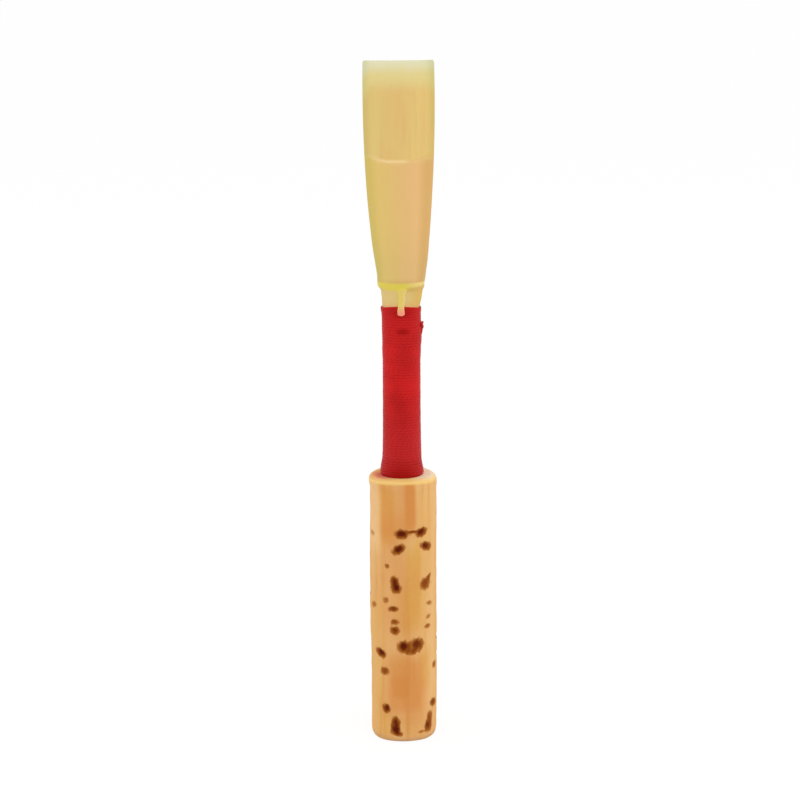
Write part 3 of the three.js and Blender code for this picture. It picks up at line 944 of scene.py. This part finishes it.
# %% Tints of a blade
CREST_EDGE = (SHOULDER_CREST - 0.12, SHOULDER_CREST + 0.08)  # from the bevel's yellow to the bark
CUT_EDGE = (SHOULDER_FOOT - 0.06, SHOULDER_FOOT + 0.1)  # from the neck to the bevel's yellow
CREASE_WIDTH = 0.16
CREST_CREASE = SHOULDER_CREST + 0.12
LIP_RISE = 0.08  # the painted highlight on the lip lies this far above the scrape line
LIP_WIDTH = 0.15
TINT_EDGE = (NECK_FOOT + 0.45, NECK_FOOT)  # the neck is orange next to the thread, and this fades out between these heights


def blade_tints(height, across):
    """How strong each tint is at a height and a place across. The bark ends sharply on the left and
    softly on the right. Painted shade lies in a crease at the bevel's foot on the right and above its
    crest in the middle. The painted highlight on the lip of the scrape line is faint outside the middle,
    and wider on the left."""
    bevelled = bevel_height(height, across)
    past_line = height - scrape_line(across)
    left, right = smooth_step(-across, 0.4, 0.7), smooth_step(across, -0.15, 0.5)
    bark_end = 0.1 + 0.7 * smooth_step(across, 0.25, 0.7)
    foot_crease = hill(bevelled, SHOULDER_FOOT + 0.05 + 0.1 * right, CREASE_WIDTH + 0.1 * right)
    crest_crease = hill(bevelled, CREST_CREASE, CREASE_WIDTH)
    lip = hill(past_line, LIP_RISE, LIP_WIDTH + 0.12 * left) * (1 - 0.62 * left)
    return {
        "across": across + 0 * height,
        "bark": smooth_step(past_line, bark_end, -bark_end / 2) * smooth_step(bevelled, *CREST_EDGE),
        "bevel": band(bevelled, CUT_EDGE, CREST_EDGE),
        "crease": foot_crease * right + 0.5 * crest_crease * (1 - across**2),
        "lip": lip * (0.12 + 0.88 * band(across, (-0.9, -0.7), (0.1, 0.36))),
        "thread_tint": smooth_step(bevelled, *TINT_EDGE),
    }


# %% Blade surface
FACE_POINTS = 121
BACK_DROP_LENGTH = 2  # the back blade's drop is spread over this length
# heights at which a blade's loops change their spacing, and how many there are up to the next
BLADE_ROWS = [
    (TAIL_FOOT, 14),
    (THREAD_HEAD - 0.6, 22),
    (NECK_FOOT, 14),
    (BEVEL_START, 44),
    (SHOULDER_CREST + 0.1, 60),
    (SCRAPE_LINE - 0.1, 40),
    (SCRAPE_LINE + 0.7, 50),
    (REED_LENGTH - CORNER_LENGTH, 10),
    (REED_LENGTH, 1),
]


def blade_faces():
    """Outer and inner face of the front blade as grids, heights by places across. A place across is
    the cosine of an angle, and the arch is that angle's sine to a power."""
    rows = [
        np.linspace(low, high, steps, endpoint=False)
        for (low, steps), (high, _) in zip(BLADE_ROWS, BLADE_ROWS[1:])
    ]
    height = np.concatenate([*rows, [REED_LENGTH]])[:, None]
    angle = np.linspace(0, math.pi, FACE_POINTS)
    across, lift = np.cos(angle), np.sin(angle).clip(0)
    arch = lift ** along(ARCH_POWERS, height)
    half, rise = channel(height)
    scraped = smooth_step(height - scrape_line(across), 0, SCRAPE_EDGE)
    step = SCRAPE_STEP * scraped * smooth_step(height, *STEP_FADE)
    thickness = along(CROWN, bevel_height(height, across)) - step
    level = height + 0 * across
    outer = [blade_half(height) * across, -EDGE_GAP - (rise + thickness) * arch, level]
    inner = [half * across, -EDGE_GAP - rise * arch, level]
    return np.stack(outer, -1), np.stack(inner, -1), blade_tints(height, across)


def make_blade(name, facing, drop):
    """Facing is 1 for the front blade and -1 for the back one, which is the same blade turned half
    round. A drop shortens it."""
    outer, inner, tints = blade_faces()
    points = both_faces(outer, inner) * [facing, facing, 1]
    near_tip = smooth_step(points[..., 2], REED_LENGTH - BACK_DROP_LENGTH, REED_LENGTH)
    points[..., 2] -= drop * near_tip
    marks = {tint: both_faces(share, share) for tint, share in tints.items()}
    marks["inside"] = both_faces(0 * outer[..., 2], 0 * outer[..., 2] + 1)
    return make_piece(name, points, sheet_faces(points), marks, sharp=50)


front_cane = make_blade("front_cane", 1, 0)
back_cane = make_blade("back_cane", -1, BACK_TIP_DROP)

# %% [markdown]
# The tongue is what the knife left where it pared the neck: a narrow strip that starts in the bevel,
# runs down the neck, and lies with its cut end on the thread. It is its own closed strip, whose root
# is buried in the blade.

# %% Sizes of the binding that the tongue lies on
THREAD_FOOT = solid("thread_under_layer")[0][2]
# heights, and how thick the binding is there
BINDING = [(THREAD_FOOT, 0.185), (31, 0.19), (36, 0.21), (39.5, 0.235), (THREAD_HEAD, 0.24)]
TAIL_CLIMB = (TAIL_FOOT - 0.5, TAIL_FOOT + 0.3)  # the thread climbs onto the tails between these


def bound_half_widths(height):
    """Half widths of what the thread lies on: the staple, and from their feet up the tails."""
    across, deep = staple_half_widths(height)
    on_tail = smooth_step(height, *TAIL_CLIMB)
    side = SEAT_GAP + along(TAIL_SIDE, height)
    crown = SEAT_GAP + EDGE_GAP + along(CROWN, np.minimum(height, THREAD_HEAD - NECK_LAP))
    return across + side * on_tail, deep + crown * on_tail


# %% Sizes of a tongue
TONGUE_HALF = 0.36
TONGUE_FOOT = THREAD_HEAD - 0.97
TONGUE_ROOT = SHOULDER_CREST - 0.1
TONGUE_ROUND = 0.22  # height of its rounded end
TONGUE_BLUNT = 0.004  # least half width
TONGUE_PINCH = (THREAD_HEAD - 0.1, 0.3, 0.05)  # height, half length and depth of the pinch
TONGUE_WIDENS = SHOULDER_FOOT - 0.4
ROOT_SPREAD = 0.55  # how much wider each side of its root is
TONGUE_PROUD = 0.12  # above the thread
TONGUE_CLEAR = 0.02  # its underside, above the thread
TONGUE_BURIED = 0.08  # its underside, below the neck
NECK_PROUD = 0.13  # above its root, which is sunk in the blade
ROOT_SUNK = 0.02
ROOT_SINKS = (SHOULDER_FOOT + 0.55, SHOULDER_FOOT)
OVER_THREAD = (NECK_FOOT + 0.35, THREAD_HEAD - 0.1)  # it bends down onto the thread between these
# the tongue's pale cut end, with a painted highlight, lies between these heights
PALE_LIT_END = (TONGUE_FOOT + 1.08, TONGUE_FOOT + 0.25)
TONGUE_POINTS = 25
TONGUE_END_STEPS = 14
TONGUE_STEPS = 44


# %% Tongues
def tongue_half(height):
    """Half width: a squarish round end, a pinch at the thread's edge, and a wide root."""
    from_end = ((height - TONGUE_FOOT) / TONGUE_ROUND).clip(0, 1)
    end = (1 - (1 - from_end) ** 3) ** (1 / 3)
    pinch_height, pinch_length, pinch_depth = TONGUE_PINCH
    pinch = pinch_depth * hill(height, pinch_height, pinch_length)
    root = ROOT_SPREAD * smooth_step(height, TONGUE_WIDENS, TONGUE_ROOT)
    return (TONGUE_HALF - pinch + root) * end + TONGUE_BLUNT


def make_tongue(name, facing):
    """A strip whose outer face is raised above the neck and the thread, with rounded long edges, and
    whose inner face lies in the neck and just clear of the thread."""
    end = np.linspace(0, 1, TONGUE_END_STEPS, endpoint=False) ** 2
    rest = np.linspace(TONGUE_FOOT + TONGUE_ROUND, TONGUE_ROOT, TONGUE_STEPS)
    height = np.concatenate([TONGUE_FOOT + TONGUE_ROUND * end, rest])[:, None]
    side = np.sin(np.linspace(math.pi / 2, -math.pi / 2, TONGUE_POINTS))
    neck = channel(height)[1] + along(CROWN, bevel_height(height, 0)) + EDGE_GAP
    on_thread = bound_half_widths(height)[1] + along(BINDING, height)
    over = smooth_step(height, *OVER_THREAD)
    outside = neck + NECK_PROUD * smooth_step(height, *ROOT_SINKS) - ROOT_SUNK
    outside = outside + (on_thread + TONGUE_PROUD - outside) * over
    inside = neck - TONGUE_BURIED
    inside = inside + (on_thread + TONGUE_CLEAR - inside) * over
    x = tongue_half(height) * side
    sag = x**2 / (2 * outside)
    rounded = (1 - side**4) ** 0.5
    level = height + 0 * side
    outer = np.stack([x, sag - inside - (outside - inside) * rounded, level], -1)
    inner = np.stack([x, sag - inside, level], -1)
    points = both_faces(outer, inner) * [facing, facing, 1]
    marks = {
        "end": smooth_step(points[..., 2], *PALE_LIT_END),
        "across": both_faces(side + 0 * level, side + 0 * level) * facing,
        "tongue": 0 * points[..., 2] + 1,
    }
    return make_piece(name, points, sheet_faces(points), marks, sharp=70)


front_tongue = make_tongue("front_tongue", 1)
back_tongue = make_tongue("back_tongue", -1)

# %% [markdown]
# Cane is made of long fibres, so every pattern on it is stretched along the reed. The scraped part is
# straw yellow and turns to pale cream at the thin tip. The bark is warmer, pinkish towards the right,
# and yellow green at its left edge. The fresh cut of the bevel is bright yellow.

# %% Colours of the cane
STRAW = screen(222, 193, 116)
WARM_STRAW = screen(228, 194, 116)
PINK_STRAW = screen(224, 184, 113)
TIP_YELLOW = screen(225, 208, 138)
TIP_CREAM = screen(227, 222, 184)
EDGE_SHADE = (0.86, 0.88, 0.82)
RIGHT_SHADE = (0.97, 0.97, 0.92)
BARK_YELLOW = screen(223, 190, 108)
BARK_PINK = screen(229, 183, 119)
BARK_GREEN = screen(204, 180, 86)
BARK_ORANGE = screen(208, 162, 88)
LOW_SHADE = (0.93, 0.96, 0.94)
NECK_TAN = screen(217, 188, 116)
NECK_ORANGE = screen(213, 173, 84)
FRESH_CUT = screen(220, 202, 74)
FRESH_PALE = screen(232, 206, 122)
# painted highlight along the step of the scrape line
LIP_HIGHLIGHT = screen(239, 208, 146)
# painted shade in the creases at the bevel's foot and above its crest
CREASE_SHADE = screen(186, 142, 58)
TONGUE_YELLOW = screen(222, 198, 94)
TONGUE_WARM = screen(230, 196, 116)
# paler cut end of the tongue, with a painted highlight
TONGUE_PALE_LIT_END = screen(240, 152, 120)
THREAD_TINT = screen(226, 160, 108)
FIBRE = screen(176, 134, 66)
# painted light on the inner faces, against the shade in the opening at the tip
INSIDE_PAINTED_LIGHT = screen(228, 206, 156)


# %% Scraped cane and bark
def scraped_colour(sheet, clouds, across, side, height):
    """Straw with a pinkish middle, and a tip that turns yellow, then cream. The pale tip reaches
    lower down at its sides."""
    middle = (clouds - across * across * 0.5).ramp(0.2, 0.62)
    scrapes = noise(sheet, places(sheet, 2.2, 2.2, 0.14))
    straw = across.ramp(-0.5, 0.7).blend(STRAW, WARM_STRAW)
    straw = middle.blend(straw, PINK_STRAW)
    straw = (scrapes.ramp(0.45, 0.75) * 0.1).blend(straw, FIBRE)
    to_tip = height + (clouds - 0.5) * 1.2 + side * (0.3 - across * 0.3)
    yellow = (to_tip + side * 0.5).ramp(REED_LENGTH - 3.3, REED_LENGTH - 1.4)
    return to_tip.ramp(REED_LENGTH - 1.6, REED_LENGTH - 0.1).blend(
        yellow.blend(straw, TIP_YELLOW), TIP_CREAM
    )


def bark_colour(clouds, across, height):
    """Yellow on the left to pinkish on the right, with a green left and an orange right edge, and
    darker towards the shoulder."""
    bark = (across + (clouds - 0.5) * 0.7).ramp(-0.7, 0.4).blend(BARK_YELLOW, BARK_PINK)
    bark = ((0 - across).ramp(0.6, 0.95) * 0.85).blend(bark, BARK_GREEN)
    bark = (across.ramp(0.5, 0.85) * 0.8).blend(bark, BARK_ORANGE)
    return height.ramp(SCRAPE_LINE - 5, SHOULDER_CREST).shade(bark, LOW_SHADE)


# %% Cane finish
def cane_pattern(sheet):
    height, across = axis_of(places(sheet), "Z"), mark(sheet, "across")
    side = (across * across).ramp(0.5, 0.96)
    fibres = noise(sheet, places(sheet, 14, 14, 0.35), detail=3.0, roughness=0.6)
    clouds = noise(sheet, places(sheet, 0.5, 0.5, 0.16))
    colour = side.shade(scraped_colour(sheet, clouds, across, side, height), EDGE_SHADE)
    colour = across.ramp(0.55, 0.9).shade(colour, RIGHT_SHADE)
    colour = mark(sheet, "bark").blend(colour, bark_colour(clouds, across, height))
    below = height.ramp(SHOULDER_FOOT + 0.3, SHOULDER_FOOT - 0.1)
    colour = below.blend(colour, across.ramp(0.2, 0.9).blend(NECK_TAN, NECK_ORANGE))
    cut = across.ramp(0.1, 0.7).blend(FRESH_CUT, FRESH_PALE)
    colour = (mark(sheet, "bevel") * 0.95).blend(colour, cut)
    colour = (mark(sheet, "thread_tint") * 0.45).blend(colour, THREAD_TINT)
    # painted shade in the creases at the bevel's foot and above its crest
    colour = (mark(sheet, "crease") * 0.6).blend(colour, CREASE_SHADE)
    # painted highlight on the lip of the scrape line
    colour = mark(sheet, "lip").blend(colour, LIP_HIGHLIGHT)
    stem = across.ramp(-0.3, 0.7).blend(TONGUE_YELLOW, TONGUE_WARM)
    stem = height.ramp(SHOULDER_FOOT - 0.1, SHOULDER_FOOT + 0.4).blend(stem, FRESH_CUT)
    colour = mark(sheet, "tongue").blend(colour, stem)
    # paler cut end of the tongue, with a painted highlight
    colour = mark(sheet, "end").blend(colour, TONGUE_PALE_LIT_END)
    # painted light on the inner faces, against the shade in the opening at the tip
    colour = (mark(sheet, "inside") * 0.7).blend(colour, INSIDE_PAINTED_LIGHT)
    colour = (fibres.ramp(0.55, 0.8) * 0.14).blend(colour, FIBRE)
    return {
        "Base Color": colour,
        "Roughness": 0.52 - mark(sheet, "bark") * 0.12 + fibres * 0.1,
        "Bump": (fibres * (1.2 - mark(sheet, "bark")), 0.006),
    }


cane_finish = finish_material("cane", cane_pattern, Specular_IOR_Level=0.35)
for piece in (front_cane, back_cane, front_tongue, back_tongue):
    piece.data.materials.append(cane_finish)

# %% [markdown]
# ## The thread
#
# One red thread is wound from the cane's throat down to the cork, turn beside turn, and finished just
# above the cork with doubled turns, which is why the binding flares there. A striped texture would
# look right only from afar, so the thread is a real strand: a flattened tube that follows one long
# helix round the staple and the tails of the cane. A smooth under layer fills what shows between
# turns, and its darker red is painted shade between them.

# %% Under layer
FLARE_HEIGHT = 1.8
FLARE = 0.21
STRAND_WIDTH = 0.29
STRAND_THICKNESS = 0.14
TOP_DIP = 0.3  # how much lower the last turns lie at the sides than in front
TOP_DIP_LENGTH = 1.5
FOOT_DIP = 0.2  # and the first turns
UNDER_SHARE = 0.55  # how far up through the strand the under layer reaches
UNDER_HEAD = THREAD_HEAD - TOP_DIP - 0.08
UNDER_GAP = 0.01
UNDER_STEPS = 120


def binding_thickness(height):
    """The binding's own thickness, plus the flare above the cork."""
    flare = FLARE * smooth_step(height, THREAD_FOOT + FLARE_HEIGHT, THREAD_FOOT)
    return along(BINDING, height) + flare


def make_under_layer():
    """A tube that follows what is bound, and fills the binding up to within the outer turns."""
    height = np.linspace(THREAD_FOOT, UNDER_HEAD, UNDER_STEPS)
    halves = bound_half_widths(height)
    outside = binding_thickness(height) - STRAND_THICKNESS * UNDER_SHARE
    return make_tube("thread_under", halves, outside, UNDER_GAP, height, sharp=60)


thread_under = make_under_layer()

# %% A strand along a path
STRAND_SIDES = 12
PLY_LENGTH = 0.5
FLAT_POWER = 0.75  # 1 gives an oval section, and less gives a flatter one


def unit(vectors):
    """Each vector divided by its length."""
    return vectors / np.linalg.norm(vectors, axis=1, keepdims=True)


def strand_loops(path, out, half_out, half_along):
    """Loops of a flattened strand. Round each loop a point lies out from the path by the cosine of an
    angle, and beside it by the angle's sine; powers of both flatten the section."""
    onward = unit(np.gradient(path, axis=0))
    out = unit(out - onward * np.sum(out * onward, axis=1, keepdims=True))
    beside = np.cross(onward, out)
    angle = np.linspace(0, 2 * math.pi, STRAND_SIDES, endpoint=False)
    outwards, sideways = (
        (np.sign(part) * np.abs(part) ** FLAT_POWER)[None, :, None]
        for part in (np.cos(angle), np.sin(angle))
    )
    return path[:, None] + out[:, None] * outwards * half_out + beside[:, None] * sideways * half_along


# %% A strand's mesh
def make_strand(name, loops):
    """Closes both ends of a strand with a middle point, and lays a map along it: turns of the ply
    along the length, and once round the strand."""
    rows, around = loops.shape[:2]
    steps = np.linalg.norm(np.diff(loops.mean(axis=1), axis=0), axis=1)
    run = np.concatenate([[0], np.cumsum(steps)]) / PLY_LENGTH
    j, i = np.meshgrid(np.arange(rows - 1), np.arange(around), indexing="ij")
    u = np.stack([run[j], run[j], run[j + 1], run[j + 1]], -1)
    v = np.stack([i, i + 1, i + 1, i], -1) / around
    wall_uv = np.stack([u, v], -1).reshape(-1, 2)
    i = np.arange(around)
    beside = (i + 1) % around
    top = (rows - 1) * around
    middles = 0 * i + rows * around
    faces = loop_faces(loops).tolist()
    faces += np.stack([beside, i, middles], -1).tolist()
    faces += np.stack([top + i, top + beside, middles + 1], -1).tolist()
    points = np.concatenate([loops.reshape(-1, 3), loops[[0, -1]].mean(axis=1)])
    uv = np.concatenate([wall_uv, np.zeros((6 * around, 2))])
    return make_piece(name, points, faces, uv=uv, sharp=80)


# %% Places on the binding
def on_binding(angle, height, lift):
    """Points at a lift off what is bound, and the directions out of it there."""
    across, deep = (half + lift for half in bound_half_widths(height))
    points = np.stack([across * np.cos(angle), deep * np.sin(angle), height + 0 * angle], -1)
    out = np.stack([np.cos(angle) / across, np.sin(angle) / deep, 0 * angle], -1)
    return points, unit(out)


# %% Outer turns
TURNS = 64
STEPS_PER_TURN = 40
START_ANGLE = math.pi / 2  # both ends of the winding lie at the back
FIRST_TURN_RISE = 0.1  # the first turn lies this far off the cork in front
LAST_TURN_RISE = 0.06  # the last turn rides up against the neck
SWAY = 1 / 3  # share of the pitch by which each side lies off a plain helix
PITCH_WANDER = (0.02, 7)  # how far the turns wander up and down, and in how many turns
LIFT_WANDER = (0.008, 3.3)  # and in and out


def wander(turn, size, pitch, seed):
    """A ripple of a size along the winding, whose pitch is counted in turns."""
    return size * ripple(turn, 0 * turn, seed=seed, pitch=pitch)


def make_turns():
    """A helix with a slow unevenness in its pitch and in how far it stands out. It climbs at the back
    and falls a little across the front, and its end turns dip at the sides."""
    turn = np.linspace(0, TURNS, TURNS * STEPS_PER_TURN + 1)
    low = THREAD_FOOT + FIRST_TURN_RISE + STRAND_WIDTH / 2
    high = THREAD_HEAD + LAST_TURN_RISE - STRAND_WIDTH / 2
    angle = START_ANGLE + 2 * math.pi * turn
    height = low + (high - low) * (turn - SWAY * np.cos(angle)) / TURNS
    off_end = np.minimum(turn, TURNS - turn).clip(0, 1)
    height = height + off_end * wander(turn, *PITCH_WANDER, seed=8)
    dip = TOP_DIP * smooth_step(height, THREAD_HEAD - TOP_DIP_LENGTH, THREAD_HEAD)
    dip = dip + FOOT_DIP * smooth_step(height, THREAD_FOOT + FLARE_HEIGHT, THREAD_FOOT)
    height = height - dip * np.cos(angle) ** 2
    lift = binding_thickness(height) - STRAND_THICKNESS / 2 + wander(turn, *LIFT_WANDER, seed=4)
    path, out = on_binding(angle, height, lift)
    loops = strand_loops(path, out, STRAND_THICKNESS / 2, STRAND_WIDTH / 2)
    return make_strand("thread_turns", loops)


thread_turns = make_turns()

# %% [markdown]
# The thread is tied off on the right with a small overhand knot, whose end hangs down the binding.
# Near the cork, four half hitches lock the last turns, and where each one crosses over, it makes a
# short slanting bar. The bars lie in a row up the back. An overhand knot pulled flat is a trefoil
# curve, and a bar is a short strand whose two ends dive under its neighbours.

# %% Sizes of the knot and the hitches
KNOT_HEIGHT = THREAD_HEAD - 2.2
KNOT_ANGLE = -0.1  # radians from +X, and less than 0 is towards the front
KNOT_HALF = (0.09, 0.36, 0.34)  # out, round and up
KNOT_STRAND = 0.1
KNOT_LIFT = 0.03
KNOT_SINK = 0.14  # how far its end sinks into the binding
KNOT_END_LENGTH = 0.9
KNOT_STEPS = 120
KNOT_END_STEPS = 30
TREFOIL_START, TREFOIL_END = 0.25, 2 * math.pi - 0.1  # it stays open where the thread's ends part
TREFOIL_ROUND, TREFOIL_UP = 2.6, 3  # about the greatest values of its two sums
HITCHES = 4
HITCH_ANGLE = 1.9  # radians from +X, towards the back and a little past it
HITCH_SHIFT = 0.05  # radians that each bar lies beside the one below it
HITCH_FOOT = THREAD_FOOT + 0.5  # middle of the lowest bar
HITCH_SPACING = 0.42
HITCH_LENGTH = 0.62
HITCH_TURN = 0.3  # half the angle that a bar spans
HITCH_LIFT = 0.04
HITCH_DIVE = 0.14
HITCH_STEPS = 28
HITCH_HALF = (0.4 * STRAND_THICKNESS, 0.42 * STRAND_WIDTH)


# %% Knot and hitches
def make_knot():
    """A trefoil: sin t + 2 sin 2t round, cos t - 2 cos 2t up and -sin 3t out, each scaled to the
    knot's size. Then the end leads straight down and sinks into the binding."""
    t = np.linspace(TREFOIL_START, TREFOIL_END, KNOT_STEPS)[:, None]
    half_out, half_round, half_up = KNOT_HALF
    angle, height = np.array([KNOT_ANGLE]), np.array([KNOT_HEIGHT])
    spot, out = on_binding(angle, height, binding_thickness(height) + KNOT_LIFT)
    upward = np.array([0, 0, 1])
    round_way = np.cross(upward, out)
    path = spot - out * np.sin(3 * t) * half_out
    path = path + round_way * (np.sin(t) + 2 * np.sin(2 * t)) / TREFOIL_ROUND * half_round
    path = path + upward * (np.cos(t) - 2 * np.cos(2 * t)) / TREFOIL_UP * half_up
    share = np.linspace(0, 1, KNOT_END_STEPS)[1:, None]
    hanging = path[-1] - upward * KNOT_END_LENGTH * share - out * KNOT_SINK * share**2
    path = np.concatenate([path, hanging])
    outwards = np.repeat(out, len(path), axis=0)
    return make_strand("thread_knot_loops", strand_loops(path, outwards, KNOT_STRAND, KNOT_STRAND))


def make_hitch(index):
    """A short bar over the last turns, lifted in its middle and diving under them at both ends."""
    share = np.linspace(-1, 1, HITCH_STEPS)
    height = HITCH_FOOT + index * HITCH_SPACING + share * HITCH_LENGTH / 2
    angle = HITCH_ANGLE - index * HITCH_SHIFT + share * HITCH_TURN
    lift = binding_thickness(height) + HITCH_LIFT - HITCH_DIVE * share**4
    path, out = on_binding(angle, height, lift)
    return make_strand(f"thread_hitch_{index + 1}", strand_loops(path, out, *HITCH_HALF))


thread_knot = make_knot()
hitches = [make_hitch(index) for index in range(HITCHES)]

# %% [markdown]
# The thread is twisted from two plies and waxed. The plies are slanting stripes along the strand, so
# they read the strand's own map. The wax leaves it darker in patches, it is darker near the cork, and
# painted shadow lies on it under the tongue's end. Its fuzz catches light at the edges of the binding.

# %% Colours of the thread
RED = screen(206, 30, 29)
DEEP_RED = screen(178, 22, 22)
LOW_RED = screen(192, 38, 40)
FOOT_RED = screen(157, 4, 0)
PLY_SHADE = screen(150, 12, 14)
# darker red of the under layer, painted shade between the turns
UNDER_SHADE_RED = screen(165, 20, 20)
THREAD_SHEEN = screen(255, 236, 240)
BRIGHT_HEIGHT = 39.5  # the middle of the binding has kept its colour best
FADING = (1.5, 5.5)  # off that height, the red deepens between these
LOW_PART = (BRIGHT_HEIGHT - 3, THREAD_FOOT + 3)
DARK_FOOT = (THREAD_FOOT + 2.4, THREAD_FOOT - 0.2)
BLOTS_AND_SHADOW = [  # middle of a darker place in millimetres, its reach up the reed, and strength
    # a wax blot
    ((0.25, -1.9, 43.35), 0.5, 0.8),
    # painted shadow of the tongue's end on the thread
    ((0.1, -1.75, 45.2), 0.7, 0.5),
]
DARK_SPOT_WIDTH = 2.2  # a dark spot is this many times as wide as it is high


# %% Thread finish
def thread_pattern(sheet):
    strand_map = sheet.node("ShaderNodeTexCoord", {}, {}, "UV")
    slant = axis_of(strand_map, "X") + axis_of(strand_map, "Y") * 2
    plies = sheet.sum("SINE", slant * (2 * math.pi))
    where = places(sheet)
    fuzz = noise(sheet, where, scale=9.0, detail=3.0)
    patches = noise(sheet, places(sheet, 0.45, 0.45, 0.3))
    across, height = axis_of(where, "X"), axis_of(where, "Z")
    off_middle = sheet.sum("ABSOLUTE", height - BRIGHT_HEIGHT).ramp(*FADING)
    red = (patches.ramp(0.35, 0.7) * 0.6 + off_middle * 0.45).blend(RED, DEEP_RED)
    red = (height.ramp(*LOW_PART) * 0.6).blend(red, LOW_RED)
    at_foot = height.ramp(*DARK_FOOT) * (1 - across * across * 0.22)
    red = at_foot.blend(red, FOOT_RED)
    flat = places(sheet, 1 / DARK_SPOT_WIDTH, 1 / DARK_SPOT_WIDTH, 1)
    # darker wax blot, and painted shadow under the tongue's end
    for (x, y, z), reach, strength in BLOTS_AND_SHADOW:
        points = {0: flat, 1: (x / DARK_SPOT_WIDTH, y / DARK_SPOT_WIDTH, z)}
        away = sheet.node("ShaderNodeVectorMath", {"operation": "DISTANCE"}, points, "Value")
        red = (away.ramp(reach, reach * 0.2) * strength).blend(red, FOOT_RED)
    red = ((0.5 - plies * 0.5) * 0.2).blend(red, PLY_SHADE)
    return {
        "Base Color": red,
        "Roughness": 0.5 + fuzz * 0.2,
        "Bump": (plies * 0.6 + fuzz, 0.006),
    }


def under_pattern(sheet):
    fuzz = noise(sheet, places(sheet), scale=6.0, detail=3.0)
    # the under layer is darker red, painted shade between the turns
    return {"Base Color": fuzz.blend(FOOT_RED, UNDER_SHADE_RED), "Roughness": 0.6 + fuzz * 0.2}


thread_finish = finish_material(
    "thread",
    thread_pattern,
    Specular_IOR_Level=0.08,
    Sheen_Weight=0.22,
    Sheen_Roughness=0.35,
    Sheen_Tint=THREAD_SHEEN,
)
thread_under.data.materials.append(
    finish_material("thread_under", under_pattern, Specular_IOR_Level=0.1)
)
for piece in (thread_turns, thread_knot, *hitches):
    piece.data.materials.append(thread_finish)

# %% [markdown]
# ## The pieces on the frame
#
# Each piece rides on the one rigid body of the model and stands for the solid that it replaces.

# %% Ride and replace
PIECES = [  # piece, the solid that it stands for, slot
    (staple, "staple_tube", "staple_metal"),
    (cork, "cork_sleeve", "cork"),
    (front_cane, "front_blade", "cane"),
    (back_cane, "back_blade", "cane"),
    (front_tongue, None, "cane"),
    (back_tongue, None, "cane"),
    (thread_under, "thread_under_layer", "thread"),
    (thread_turns, "thread_winding", "thread"),
    (thread_knot, "thread_knot", "thread"),
    *((hitch, None, "thread") for hitch in hitches),
]
for piece, node, slot in PIECES:
    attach(piece, "root")
    if node:
        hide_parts(node)
print(len(PIECES), "pieces ride on the frame")
